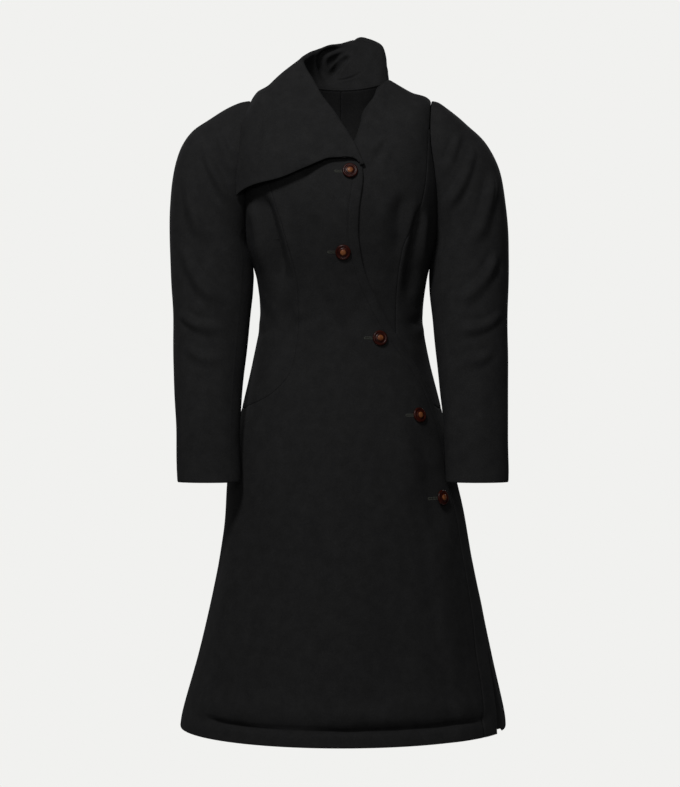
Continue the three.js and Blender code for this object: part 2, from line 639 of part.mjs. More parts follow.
// A domed button with a raised round centre, as a turned profile.
const BUTTON_PROFILE = [
  { radius: 11.5, height: 0 },
  { radius: 13, height: 1.2 },
  { radius: 12.6, height: 3 },
  { radius: 10.6, height: 4.6 },
  { radius: 7.2, height: 5 },
  { radius: 6, height: 5.9 },
  { radius: 3.4, height: 6.9 },
];

function button(row, number) {
  const around = 16;
  const normal = bodyNormal(row.angle, row.level);
  const seat = rightFront(row.angle, row.level, BUTTON_SEAT);
  const turn = new THREE.Quaternion().setFromUnitVectors(v(0, 0, 1), normal);
  const ringOf = ({ radius, height }) =>
    Array.from({ length: around }, (_, k) => {
      const a = (2 * Math.PI * k) / around;
      return v(radius * Math.cos(a), radius * Math.sin(a), height).applyQuaternion(turn).add(seat);
    });
  const rings = BUTTON_PROFILE.map(ringOf);
  const low = v(0, 0, 0).add(seat);
  const high = v(0, 0, 7.2).applyQuaternion(turn).add(seat);
  const points = [...rings.flat(), low, high];
  const index = [];
  const top = rings.length - 1;
  for (let k = 0; k < around; k += 1) {
    const next = (k + 1) % around;
    for (let r = 0; r < top; r += 1) {
      const [a, b] = [r * around + k, r * around + next];
      index.push(a, b, b + around, a, b + around, a + around);
    }
    index.push(points.length - 2, next, k);
    index.push(points.length - 1, top * around + k, top * around + next);
  }
  return meshOf("button_" + (number + 1), points, index, RESIN);
}

const coat = new THREE.Group();
coat.name = "coat";
coat.add(...fronts(), ...backs(), ...sleeve("right"), ...sleeve("left"), collar(), ...BUTTONS.map(button));
export default coat;
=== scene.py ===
"""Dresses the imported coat: fine cloth shells, thread and buttons around the frame of the CAD model."""

import math

import bpy
import numpy as np
from mathutils.kdtree import KDTree
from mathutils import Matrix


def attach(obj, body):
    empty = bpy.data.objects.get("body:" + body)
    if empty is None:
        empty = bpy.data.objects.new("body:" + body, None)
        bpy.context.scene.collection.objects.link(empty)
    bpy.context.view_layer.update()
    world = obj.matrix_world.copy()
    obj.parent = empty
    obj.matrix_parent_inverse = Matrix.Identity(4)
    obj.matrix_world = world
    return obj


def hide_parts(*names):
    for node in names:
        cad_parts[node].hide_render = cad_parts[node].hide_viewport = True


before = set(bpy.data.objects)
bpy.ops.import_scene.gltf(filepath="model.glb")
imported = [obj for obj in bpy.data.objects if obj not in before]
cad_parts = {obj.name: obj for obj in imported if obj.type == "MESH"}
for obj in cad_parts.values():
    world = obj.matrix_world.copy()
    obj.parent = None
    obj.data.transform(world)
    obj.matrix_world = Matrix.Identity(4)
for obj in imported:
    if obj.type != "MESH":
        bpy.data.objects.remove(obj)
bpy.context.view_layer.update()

# Places are in millimetres, as in the part's source, and turned into metres in the meshes.
METRE = 0.001
# The cloth's wall, the gap at a seam and how far an overlapping layer lies out.
CLOTH = 2.6
SEAM_GAP = 0.3
LAP = 4.6
LAP_RAMP = (-30, -5)
# Rows of the body where the armhole and the pocket line lie.
ARMHOLE_TOP = 2.0
ARMHOLE_BOTTOM = 5.0
ARMHOLE_STEPS = 13
ARMHOLE_REACH = 23.5
POCKET = 9.15
# Steps of the fine cloth.
CLOTH_STEP = 4
FINE_ARMHOLE = 4
FINE_SLEEVE = 6
SLEEVE_STEP = 3.1


def rows_of(names, *rows):
    return [dict(zip(names.split(), row), row=number) for number, row in enumerate(rows)]


# Loops of the body's outer surface, from the neckline to the hem: heights, half widths and depths.
SECTIONS = rows_of(
    "sideZ frontZ backZ right left front back full",
    (36, -8, 28, 84, 84, 58, 62, 0),
    (14, -58, -12, 122, 122, 80, 84, 0.05),
    (-4, -104, -56, 158, 158, 104, 98, 0.12),
    (-72, -146, -110, 170, 170, 122, 106, 0.2),
    (-160, -196, -172, 176, 176, 130, 108, 0.22),
    (-254, -254, -254, 166, 166, 123, 104, 0.2),
    (-315, -315, -315, 147, 150, 110, 97, 0.16),
    (-385, -385, -385, 142, 143, 101, 92, 0.14),
    (-455, -455, -455, 154, 154, 109, 104, 0.12),
    (-525, -525, -525, 170, 172, 123, 122, 0.1),
    (-612, -612, -612, 191, 192, 140, 142, 0.08),
    (-668, -668, -668, 199, 201, 148, 150, 0.06),
    (-752, -752, -752, 205, 219, 158, 160, 0.04),
    (-857, -857, -857, 224, 240, 170, 172, 0.02),
    (-962, -962, -962, 248, 262, 184, 184, 0),
    (-1060, -1060, -1060, 275, 284, 199, 198, 0),
    (-1092, -1092, -1092, 281, 288, 205, 203, 0),
)

# The right front's free edge below the break of the lapel.
OVERLAP = rows_of(
    "level angle",
    (2.565, 12), (3.2, 12.3), (4.2, 9.8), (5.1, 10.6), (6, 16.4), (6.8, 28.8), (7.6, 43), (8.3, 55.6),
    (9.3, 66.2), (10.3, 73), (11.4, 78), (13, 76), (14.2, 71), (15.2, 66.3), (16, 65.7),
)

# The right front's neck edge, where the collar and lapel are sewn on.
NECK_RIGHT = rows_of(
    "level angle",
    (0, -58), (0.2, -37), (0.78, -12), (1.2, -4.5), (1.65, 1.8), (2.1, 5.5), (2.372, 7.5),
    (2.648, 11.8),
)

# The left front's own edge: its neckline first, then the hidden edge under the right front.
UNDERLAP = rows_of(
    "level angle",
    (0, 50), (0.35, 25), (0.8, 16.3), (1.5, 7.6), (2.2, -2), (2.8, -9), (3.4, -12), (4.2, -13),
    (5.1, -12.5), (6, -7.5), (6.8, 2), (7.6, 15.7), (8.3, 26.6), (9.3, 36), (10.3, 40.5), (11.4, 45),
    (14.2, 46.2), (16, 44.5),
)

# Princess seams from the armhole to the pocket line, as angles away from the front.
PRINCESS = rows_of(
    "level right left",
    (2.565, 65.2, 65.2), (2.849, 60.5, 62.8), (3.2, 51.5, 59.5), (3.8, 43, 55), (4.5, 36.6, 48.5),
    (5, 34, 41.5), (5.5, 32.3, 39.8), (6.2, 30.9, 40.2), (6.9, 31.2, 41), (7.7, 31.3, 39.6),
    (8.2, 32.6, 39.2), (8.5, 35.8, 41.5), (8.8, 43.5, 48), (8.95, 51, 54), (9.06, 61.6, 63),
    (9.15, 73, 73),
)

# Sections of the collar from the break, over the right shoulder and round the back to the left side.
COLLAR = rows_of(
    "base sewn x y z edge edgeLevel lift bulge upright",
    (0, 2.64, 38, -123, -128, 7, 2.33, 12, 0, 0),
    (0, 2.25, 27, -114, -101, -8.3, 2.53, 14, 1, 0),
    (0, 1.95, 15.5, -103, -79, -19.7, 3, 16, 2, 0),
    (0, 1.5, 1.6, -93, -57, -38, 3.6, 18, 3, 0),
    (0, 1, -10.3, -82, -36, -71, 4.1, 25, 0, 0),
    (0, 0.62, -24, -69, -15, -70.5, 3.3, 25, 0, 0),
    (0, 0.33, -36, -57, 4, -71.5, 2.8, 25, 2, 0),
    (0, 0.12, -50, -40, 31, -69.5, 2.3, 20, 3, 0),
    (-60, 0, -62.6, -18, 56, -73.5, 1.8, 12, 4, 0),
    (-81, 0, -66.6, 5, 74, -88, 1.38, 6, 4, 0),
    (-101, 0, -54, 26, 89, -110, 1.25, 6, 4, 0),
    (-123, 0, -39.5, 44, 99, -130, 1.2, 7, 4, 0),
    (-145, 0, -21, 58, 109, -150, 1.1, 9, 3, 0.2),
    (-168, 0, -2, 68, 119, -168, 0.9, 9, 2, 0.6),
    (-190, 0, 26, 74, 130, -188, 0.6, 10, 0, 0.93),
    (-212, 0, 52, 62, 120, -210, 0.5, 10, 0, 1),
    (-236, 0, 71, 45, 107, -234, 0.5, 10, 0, 1),
    (-255, 0, 77.7, 26, 88.7, -254, 0.5, 10, 0, 1),
    (-268, 0, 78.5, 9, 68, -268, 0.5, 10, 0, 1),
    (-277, 0, 81, -4, 54, -277, 0.5, 10, 0, 1),
)

# Rings of the sleeves: outermost points and innermost x of each, then what both share.
SLEEVES = rows_of(
    "rightOutX rightOutZ rightInX leftOutX leftOutZ leftInX inZ y front back",
    (160, -5, 168, 160, -5, 168, -254, 0, 68, 66),
    (177, -12, 168.8, 171, -12, 168.9, -256, 0, 69, 68),
    (201, -22, 168.8, 190, -25, 169, -259, 0, 69, 69),
    (230, -38, 168.2, 215, -43, 168.6, -263, -1, 69, 69),
    (256, -57, 167, 240, -66, 167.6, -268, -2, 68, 69),
    (275, -82, 164.8, 259, -92, 165.8, -275, -3, 67, 68),
    (286.5, -112, 161.8, 273, -122, 163, -284, -4, 66, 66),
    (293, -148, 158.6, 282, -156, 160, -295, -6, 65, 64),
    (295.5, -189, 156, 287, -194, 157.6, -307, -8, 64, 62),
    (295, -232, 155.5, 289, -235, 157, -323, -11, 63, 61),
    (294, -276, 156, 288.5, -278, 157.5, -344, -16, 62, 60),
    (292, -322, 158.5, 287.5, -323, 159.5, -370, -22, 60, 58),
    (289, -370, 162, 286.5, -370, 162.5, -402, -30, 57, 55),
    (286.5, -420, 166, 285, -420, 166, -438, -39, 54, 52),
    (284.5, -472, 170, 284, -472, 170, -480, -51, 50, 47),
    (282, -526, 173, 283, -526, 174, -529, -64, 46, 42),
    (279, -578, 175, 282.5, -578, 178, -579, -76, 43, 38),
    (276.5, -628, 174, 282, -628, 180, -628, -85, 40, 36),
    (275, -663, 172, 281.5, -663, 180, -663, -92, 39, 35),
)


def unit(vectors):
    return vectors / np.maximum(np.linalg.norm(vectors, axis=-1, keepdims=True), 1e-9)


def smooth(start, end, at):
    t = np.clip((np.asarray(at, float) - start) / (end - start), 0, 1)
    return t * t * (3 - 2 * t)


def curve(rows, by, key, at):
    """A smooth curve through one column of a table."""
    knots = np.array([row[by] for row in rows], float)
    values = np.array([row[key] for row in rows], float)
    slopes = np.empty(len(knots))
    slopes[1:-1] = (values[2:] - values[:-2]) / (knots[2:] - knots[:-2])
    slopes[0] = (values[1] - values[0]) / (knots[1] - knots[0])
    slopes[-1] = (values[-1] - values[-2]) / (knots[-1] - knots[-2])
    at = np.asarray(at, float)
    i = np.clip(np.searchsorted(knots, at, side="left") - 1, 0, len(knots) - 2)
    span = knots[i + 1] - knots[i]
    t = (at - knots[i]) / span
    level = values[i] + (values[i + 1] - values[i]) * t * t * (3 - 2 * t)
    return level + slopes[i] * span * t * (1 - t) ** 2 - slopes[i + 1] * span * t * t * (1 - t)


# The crease above the front hem: where it starts and ends in degrees, its trough and the ridge above it.
HEM_STARTS = (-68, -48)
HEM_ENDS = (50, 64)
HEM_TROUGH = {"z": -1062, "width": 8, "depth": 7.5}
HEM_RIDGE = {"z": -1036, "width": 14, "height": 3}


def bell(at, middle, width):
    return np.exp(-(((at - middle) / width) ** 2))


def hem_crease(angle, z):
    window = smooth(*HEM_STARTS, angle) * (1 - smooth(*HEM_ENDS, angle))
    uneven = 1 + 0.28 * np.sin(np.radians(angle * 3.1 + 20)) + 0.16 * np.sin(np.radians(angle * 7.3))
    trough = HEM_TROUGH["depth"] * bell(z, HEM_TROUGH["z"], HEM_TROUGH["width"])
    ridge = HEM_RIDGE["height"] * bell(z, HEM_RIDGE["z"], HEM_RIDGE["width"])
    return window * (ridge - trough * uneven)


def bare_body(angle, level):
    angle, level = np.broadcast_arrays(np.asarray(angle, float), np.asarray(level, float))
    s, c = np.sin(np.radians(angle)), np.cos(np.radians(angle))

    def at(key):
        return curve(SECTIONS, "row", key, level)

    end_z = np.where(c > 0, at("frontZ"), at("backZ"))
    width = np.where(s < 0, at("right"), at("left"))
    depth = np.where(c > 0, at("front"), at("back"))
    y = -depth * c * (1 + at("full") * s * s)
    return np.stack([width * s, y, end_z + (at("sideZ") - end_z) * s * s], -1)


def body_normal(angle, level):
    across = bare_body(angle + 0.5, level) - bare_body(angle - 0.5, level)
    down = bare_body(angle, level + 0.02) - bare_body(angle, level - 0.02)
    return -unit(np.cross(across, down))


def body(angle, level, out=0.0):
    point = bare_body(angle, level)
    distance = out + hem_crease(angle, point[..., 2])
    return point + body_normal(angle, level) * np.asarray(distance)[..., None]


def degree_width(angle, level):
    return np.linalg.norm(bare_body(angle + 0.5, level) - bare_body(angle - 0.5, level), axis=-1)


def armhole_opening(level):
    """How far the armhole opens from the side line, in degrees."""
    share = np.clip((np.asarray(level, float) - ARMHOLE_TOP) / (ARMHOLE_BOTTOM - ARMHOLE_TOP), 0, 1)
    turn = np.arccos(1 - 2 * share)
    return ARMHOLE_REACH * np.clip(np.sin(turn), 0, 1) ** 0.85 * (1 + 0.32 * np.cos(turn))


def armhole_level(step):
    half = (1 - np.cos(np.pi * np.asarray(step, float) / ARMHOLE_STEPS)) / 2
    return ARMHOLE_TOP + (ARMHOLE_BOTTOM - ARMHOLE_TOP) * half


def side_front(level):
    return 90 - armhole_opening(level)


def side_back(level):
    return 90 + armhole_opening(level)


def neck_edge(level):
    return curve(NECK_RIGHT, "level", "angle", level)


def overlap_edge(level):
    return curve(OVERLAP, "level", "angle", level)


def right_front_edge(level):
    return np.where(level < PRINCESS_START, neck_edge(level), overlap_edge(level))


def underlap_edge(level):
    return curve(UNDERLAP, "level", "angle", level)


def lap_offset(angle, level):
    """The underlapping layer shifts the right front outwards, ramped before the hidden edge."""
    past = (angle - underlap_edge(level)) * degree_width(angle, level)
    return LAP * smooth(*LAP_RAMP, past)


def right_front(angle, level, out=0.0):
    return body(angle, level, lap_offset(angle, level) + out)


# The left front's neck edge rolls inwards. Beside the overlap's lower edge it falls back and its hem rises.
NECK_ROLL = {"width": 22, "depth": 14}
FALLEN = {"depth": 7, "middle": 4, "width": 17}
HEM_RISE = 5


def left_front(angle, level, out=0.0):
    scale = degree_width(angle, level)
    past = np.clip(1 - (angle - underlap_edge(level)) * scale / NECK_ROLL["width"], 0, None)
    roll = NECK_ROLL["depth"] * smooth(0, 0.2, level) * (1 - smooth(1.5, 2.4, level)) * past**2
    beside = (angle - overlap_edge(level)) * scale
    fallen = FALLEN["depth"] * smooth(11, 13, level) * bell(beside, FALLEN["middle"], FALLEN["width"])
    point = body(angle, level, out - roll - fallen)
    point[..., 2] += HEM_RISE * smooth(15.2, 16, level) * (1 - smooth(70, 86, angle))
    return point


# Rows of the panels: even steps between the stations where seams begin or end, closer at both edges.
FINE_EDGE = (0, 1.1, 2.4, 4.2, 7)
SEAM_ROWS = np.array([0, 0.0105, 0.023, 0.04, 0.065])
PRINCESS_START = float(armhole_level(4))
PRINCESS_END = 9.163


def travelled(points, axis):
    """Distance along the grid from its first row or column."""
    steps = np.linalg.norm(np.diff(points, axis=axis), axis=-1)
    return np.concatenate([np.zeros_like(np.take(steps, [0], axis)), np.cumsum(steps, axis)], axis)


def level_steps(start, end):
    """Levels at about the cloth step along the front, without the first."""
    fine = np.linspace(start, end, 60)
    length = travelled(bare_body(20.0, fine), 0)
    count = max(1, round(length[-1] / CLOTH_STEP))
    return np.interp(np.linspace(0, length[-1], count + 1), length, fine)[1:]


def panel_levels():
    top = np.array([0, 0.013, 0.03, 0.055, 0.09])
    arm = armhole_level(np.arange(1, ARMHOLE_STEPS * FINE_ARMHOLE + 1) / FINE_ARMHOLE)
    hem = 16 - np.array([0.22, 0.13, 0.075, 0.034, 0])
    above = POCKET - SEAM_ROWS[::-1]
    below = PRINCESS_END + SEAM_ROWS
    upper = [top, level_steps(0.09, ARMHOLE_TOP), arm, level_steps(ARMHOLE_BOTTOM, above[0]), above[1:]]
    return np.concatenate([*upper, below, level_steps(below[-1], hem[0]), hem[1:]])


ROWS = panel_levels()
EDGE_DEPTH = 0.95
EDGE_REACH = 1.5
BORDER_PARTS = 4


def edge_round(distance):
    """How far each face of the cloth draws in near an edge, which rounds it."""
    return EDGE_DEPTH * np.exp(-((np.maximum(distance, 0) / EDGE_REACH) ** 1.4))


def edge_scale(surface, edge, levels):
    """How much longer a row is than the square distance from a slanting edge."""
    points = surface(edge, levels)
    along = unit(np.gradient(points, axis=0))
    across = unit(surface(edge + 0.3, levels) - surface(edge - 0.3, levels))
    return 1 / np.clip(np.linalg.norm(np.cross(along, across), axis=-1), 0.5, 1)


def panel_grid(surface, left, right, levels, count, near_right):
    """Angles of each row and their distances in millimetres from the right edge, square to it."""
    a, b = left(levels), right(levels)
    width = (b - a) * degree_width((a + b) / 2, levels)
    scales = [edge_scale(surface, edge, levels) for edge in (a, b)]
    room = 0.42 * width
    starts = [np.minimum(scale, room / near[-1]) for scale, near in zip(scales, (FINE_EDGE, near_right))]
    first = np.outer(starts[0], FINE_EDGE)
    last = width[:, None] - np.outer(starts[1], near_right)[:, ::-1]
    shares = np.linspace(0, 1, count + 2)[1:-1]
    middle = first[:, -1:] + (last[:, :1] - first[:, -1:]) * shares
    row = np.concatenate([first, middle, last], 1)
    angle = a[:, None] + (b - a)[:, None] * row / width[:, None]
    return angle, (width[:, None] - row) / scales[1][:, None]


# Creases, on the front of a piece and on its back: three points of each line as seen from
# the front, half width and depth. A negative depth is a ridge. Fronts share their creases, and so do backs.
def creases(front, back=()):
    rows = [(*row, 1) for row in front] + [(*row, -1) for row in back]
    return rows_of("x0 z0 x1 z1 x2 z2 width depth face", *rows)


FOLDS = {}
FOLDS["sleeve_right"] = creases((
    (-270, -150, -250, -284, -192, -404, 5.5, 13),
    (-282, -170, -272, -262, -232, -350, 7, -2.4),
    (-240, -78, -231, -145, -231, -182, 6.5, 8),
    (-232, -160, -217, -202, -188, -236, 5, 4.6),
    (-219, -98, -195, -155, -167, -212, 4.8, 9.5),
    (-229, -92, -205, -158, -172, -220, 4.5, -2.8),
    (-211, -56, -192, -117, -167, -176, 5, 5.5),
    (-196, -50, -184, -90, -170, -140, 6, 3),
    (-284, -226, -278, -292, -262, -356, 7, 2.6),
    (-214, -386, -202, -402, -182, -404, 6, 3),
    (-268, -410, -246, -440, -206, -452, 11, 1.8),
    (-196, -470, -206, -540, -200, -612, 10, 3.2),
    (-252, -520, -258, -566, -252, -622, 10, 1.6),
), (
    (-262, -120, -256, -190, -226, -268, 8, 6.5),
    (-236, -86, -214, -142, -176, -206, 6.5, 5.6),
    (-212, -62, -196, -104, -174, -150, 6, 4),
    (-268, -256, -246, -318, -196, -366, 8, 6),
    (-276, -366, -246, -396, -190, -404, 7, 5),
    (-262, -430, -236, -452, -196, -450, 8, 3.4),
    (-226, -490, -234, -556, -224, -622, 11, 2.4),
))
FOLDS["sleeve_left"] = creases((
    (184, -80, 178, -127, 170, -190, 5, 6),
    (192, -140, 181, -171, 170, -208, 4.8, 5.2),
    (199, -62, 194, -104, 186, -150, 6, 2.4),
    (214, -160, 203, -222, 196, -300, 9, 8),
    (229, -176, 222, -240, 214, -306, 7, -2.4),
    (258, -136, 251, -195, 249, -256, 8, 3.4),
    (164, -374, 190, -392, 214, -384, 5, 6.5),
    (166, -357, 195, -358, 228, -336, 8, -3),
    (172, -404, 186, -420, 206, -424, 6, 2.4),
    (268, -246, 262, -306, 246, -360, 9, 2.6),
    (206, -470, 214, -546, 208, -616, 10, 2.6),
    (258, -500, 264, -560, 258, -622, 10, 1.6),
), (
    (258, -126, 250, -196, 222, -268, 8, 6.2),
    (228, -86, 210, -146, 174, -208, 6.5, 5.2),
    (206, -60, 190, -104, 174, -146, 6, 3.8),
    (266, -264, 242, -322, 194, -362, 8, 5.8),
    (272, -370, 240, -400, 188, -402, 7, 4.8),
    (258, -434, 232, -456, 196, -452, 8, 3.2),
    (226, -486, 236, -552, 228, -618, 11, 2.4),
))
FOLDS["front"] = creases((
    (-158, -184, -146, -232, -130, -312, 8, -5),
    (-136, -172, -115, -246, -95, -356, 11, 15),
    (-92, -330, -88, -414, -106, -506, 14, 4.5),
    (-150, -330, -138, -368, -108, -392, 8, 2.6),
    (-148, -420, -128, -404, -100, -396, 9, 2.4),
    (-66, -196, -44, -262, -34, -336, 18, 2.2),
    (44, -330, 26, -380, -14, -414, 12, 2),
    (-40, -372, -62, -392, -96, -396, 10, 1.8),
    (84, -74, 66, -104, 42, -146, 7, 3),
    (136, -190, 124, -268, 114, -366, 8, 9),
    (148, -206, 142, -256, 132, -312, 7, -2.4),
    (152, -376, 132, -390, 106, -392, 8, 2.6),
    (106, -172, 98, -228, 94, -290, 14, 6),
    (134, -560, 152, -660, 166, -806, 22, 6),
    (-150, -640, -146, -820, -158, -1010, 26, 3.2),
    (-60, -700, -66, -860, -84, -1030, 30, 2.6),
    (64, -760, 84, -880, 96, -1030, 26, 3),
    (4, -820, 6, -930, 2, -1040, 24, -2.4),
    (-212, -760, -222, -900, -232, -1050, 20, 3.4),
    (196, -700, 214, -860, 232, -1030, 18, 3),
    (-232, -1056, -150, -1065, 70, -1064, 3.4, 4.6),
    (-100, -1065, 110, -1065, 248, -1058, 3.4, 5.4),
))
FOLDS["back"] = creases((), (
    (-150, -150, -122, -196, -50, -236, 13, 4),
    (-142, -230, -112, -262, -40, -284, 11, 3.2),
    (-132, -330, -100, -362, -30, -372, 10, 3.4),
    (-134, -408, -96, -404, -26, -390, 10, 3),
    (-96, -560, -108, -780, -134, -1040, 26, 6),
    (-176, -640, -192, -820, -216, -1050, 22, 5),
    (-36, -700, -44, -860, -56, -1060, 20, 3.6),
    (148, -158, 118, -204, 46, -240, 12, 3.8),
    (140, -238, 108, -270, 44, -290, 11, 3),
    (134, -324, 98, -358, 26, -370, 10, 3.4),
    (132, -412, 100, -406, 34, -392, 10, 2.8),
    (104, -570, 120, -780, 140, -1050, 24, 5.6),
    (184, -660, 202, -830, 222, -1050, 22, 4.6),
    (40, -690, 52, -860, 66, -1056, 21, 3.6),
))
FOLDS["collar"] = creases((
    (14, 109, -34, 86, -22, 42, 4, 8),
    (18, 92, -1, 76, -18, 50, 4.5, 7),
    (-12, 47, 14, 50, 42, 64, 1.8, 1.6),
    (-125, -22, -137, -97, -143, -156, 2, 2.6),
))
FOLD_PARTS = 14


def folds_of(name):
    return next(rows for group, rows in FOLDS.items() if group in name)


def fold_line(row):
    """Points of a fold's line, a curve through its three given points."""
    t = np.linspace(0, 1, FOLD_PARTS + 1)[:, None]
    start, middle, end = (np.array([row["x" + k], row["z" + k]], float) for k in "012")
    pull = 2 * middle - (start + end) / 2
    return (1 - t) ** 2 * start + 2 * t * (1 - t) * pull + t * t * end


def fold_shift(points, normals, rows):
    """Soft troughs and ridges that taper and change in depth and width along their length."""
    place = points[..., [0, 2]]
    total = np.zeros(points.shape[:-1])
    for row in rows:
        line = fold_line(row)
        best = np.full(total.shape, 1e9)
        along = np.zeros(total.shape)
        for part in range(FOLD_PARTS):
            step = line[part + 1] - line[part]
            offset = place - line[part]
            t = np.clip((offset @ step) / (step @ step), 0, 1)
            gap = offset - t[..., None] * step
            distance = np.hypot(gap[..., 0], gap[..., 1])
            closer = distance < best
            best = np.where(closer, distance, best)
            along = np.where(closer, (part + t) / FOLD_PARTS, along)
        taper = smooth(0, 0.28, along) * (1 - smooth(0.7, 1, along))
        uneven = 1 + 0.22 * np.sin(8 * along + row["row"] * 2.1)
        width = row["width"] * (0.8 + 0.45 * smooth(0, 1, along))
        trough = np.exp(-((best / width) ** 1.7))
        flanks = 0.28 * bell(best, 1.9 * width, 0.85 * width)
        faced = smooth(-0.05, 0.22, -row["face"] * normals[..., 1])
        total += row["depth"] * taper * uneven * faced * (flanks - trough)
    return total


# Slow waves that keep the cloth from looking machined, together mostly under a millimetre high.
WAVE_HEIGHT = 0.24
WAVE_LENGTHS = (150, 128, 112, 96, 84, 72, 64, 55)
rng = np.random.default_rng(11)
WAVES = [(unit(rng.normal(size=3)) * 2 * np.pi / length, rng.uniform(0, 2 * np.pi))
         for length in WAVE_LENGTHS]


def unevenness(points):
    waves = [np.sin(points @ direction + phase) for direction, phase in WAVES]
    return WAVE_HEIGHT * np.sum(waves, axis=0)


def grid_normals(grid):
    return unit(np.cross(np.gradient(grid, axis=0), np.gradient(grid, axis=1)))


def linked(name, data):
    item = bpy.data.objects.new(name, data)
    bpy.context.collection.objects.link(item)
    return item


def add_mesh(name, points, faces):
    mesh = bpy.data.meshes.new(name)
    mesh.from_pydata((np.asarray(points) * METRE).tolist(), [], faces)
    mesh.validate()
    mesh.shade_smooth()
    piece = linked(name, mesh)
    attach(piece, "root")
    return piece


def grid_quads(rows, columns, looped=False):
    """Quads that face out where rows go down and columns go round to the wearer's left."""
    r, c = np.meshgrid(np.arange(rows - 1), np.arange(columns if looped else columns - 1), indexing="ij")
    after = (c + 1) % columns
    corners = [r * columns + c, (r + 1) * columns + c, (r + 1) * columns + after, r * columns + after]
    return np.stack([corner.ravel() for corner in corners], 1)


def gathered(values, quads, count):
    """Each point's direction, from the values of the quads around it."""
    total = np.zeros((count, 3))
    for k in range(4):
        np.add.at(total, quads[:, k], values)
    return unit(total)


def vertex_normals(points, quads):
    a, b, c, d = (points[quads[:, k]] for k in range(4))
    return gathered(np.cross(c - a, d - b), quads, len(points))


def border_edges(quads):
    """The edges that only one quad has, in that quad's direction."""
    pairs = np.concatenate([quads[:, [k, (k + 1) % 4]] for k in range(4)])
    size = pairs.max() + 1
    keys, back = pairs[:, 0] * size + pairs[:, 1], pairs[:, 1] * size + pairs[:, 0]
    return pairs[~np.isin(keys, back)]


def border_distance(points, border):
    """Each point's distance from the border, by places at even steps along the border's lines."""
    tree = KDTree(len(border) * BORDER_PARTS)
    start, end = points[border[:, 0]], points[border[:, 1]]
    for part in range(BORDER_PARTS):
        places = start + (end - start) * part / BORDER_PARTS
        for number, place in enumerate(places.tolist()):
            tree.insert(place, part * len(border) + number)
    tree.balance()
    return np.array([tree.find(place)[2] for place in points.tolist()])


# Each piece's finished faces, for the sewing that lies on them.
FACES = {}


def cloth(name, points, quads, sunk=0.0, square=None, passes=0):
    """A wall of cloth inside an outer face, with folds, sunk lines and edges rounded unless square.

    Its normals are averaged with their neighbours' in the given number of passes.
    """
    border = border_edges(quads)
    edges = border_distance(points, border)
    normals = vertex_normals(points, quads)
    waves = unevenness(points) * smooth(0, 22, edges)
    shift = fold_shift(points, normals, folds_of(name)) + waves - sunk
    shifted = points + normals * shift[:, None]
    normals = vertex_normals(shifted, quads)
    for _ in range(passes):
        normals = gathered(normals[quads].sum(1), quads, len(normals))
    rounding = edge_round(edges)
    if square is not None:
        rounding = np.where(square, 0, rounding)
    top = shifted - normals * rounding[:, None]
    under = shifted - normals * (CLOTH - rounding)[:, None]
    FACES[name] = {"flat": points, "top": top, "under": under, "normals": normals}
    count = len(points)
    rim = np.stack([border[:, 1], border[:, 0], border[:, 0] + count, border[:, 1] + count], 1)
    faces = np.concatenate([quads, quads[:, ::-1] + count, rim])
    return add_mesh(name + "_cloth", np.concatenate([top, under]), faces.tolist())


def panel(name, surface, left, right, levels, count, near_right=FINE_EDGE, lines=None, side_grid=None):
    """One panel of the body, with its sunk lines given by a function of the distance from its right edge."""
    angle, from_right = panel_grid(surface, left, right, levels, count, near_right)
    level = np.broadcast_to(levels[:, None], angle.shape)
    points = surface(angle, level).reshape(-1, 3)
    quads = grid_quads(*angle.shape)
    sunk = np.zeros(len(points)) if lines is None else lines(from_right, level).ravel()
    square = level.ravel() == 0
    if side_grid is not None:
        more, more_quads, shared = side_grid(angle, levels)
        merged = np.concatenate([shared, np.arange(len(more)) + len(points)])
        quads = np.concatenate([quads, merged[more_quads]])
        points = np.concatenate([points, more])
        sunk = np.concatenate([sunk, np.zeros(len(more))])
        square = np.concatenate([square, np.zeros(len(more), bool)])
    return cloth(name, points, quads, sunk=sunk, square=square)


# Where the side of a front widens below the pocket line.
LEDGE_ANGLE = 73
LEDGE_SHARES = (0.985, 0.96, 0.93, 0.885, 0.82, 0.74, 0.66, 0.58, 0.5, 0.42, 0.34, 0.26, 0.18, 0.09)


def ledge(surface, side):
    """The strip below the pocket line, from a front's outer column, which it shares, to the side seam."""

    def grid(angle, levels):
        rows = np.flatnonzero(levels > POCKET + 1e-6)
        column = 0 if side < 0 else angle.shape[1] - 1
        shared = rows * angle.shape[1] + column
        shares = np.array((1, *LEDGE_SHARES))
        own = side * (LEDGE_ANGLE + (90 - LEDGE_ANGLE) * shares)
        places = surface(own[None, :], levels[rows][:, None])
        count = len(shares)
        number = len(rows) + np.arange(len(rows) * count).reshape(len(rows), count)
        joined = np.concatenate([number, np.arange(len(rows))[:, None]], 1)
        if side > 0:
            joined = joined[:, ::-1]
        quads = grid_quads(*joined.shape)
        return places.reshape(-1, 3), joined.ravel()[quads], shared

    return grid


def princess(key):
    return lambda level: curve(PRINCESS, "level", key, level)


def front_side(key):
    """A front's side edge: the armhole, the princess seam, and below the pocket line its end kept."""

    def edge(level):
        seam = princess(key)(np.minimum(level, POCKET))
        return np.where(level > PRINCESS_START - 1e-6, seam, side_front(level))

    return edge


# The strip inside the overlap's edge: widths above and below, and the trough of its stitching.
STRIP = {"upper": 17, "lower": 48}
STRIP_WIDENS = (8.8, 11.6)
STITCH_TROUGH = {"upper": 0.7, "lower": 2.6, "halfWidth": 1.7}
OVERLAP_EDGE = (0, 1.1, 2.4, 4.2, 7, 10, 13, 15, 16.2, 17, 17.8, 19, *np.linspace(20.6, 54, 21).tolist())
FRONT_COLUMNS = 74


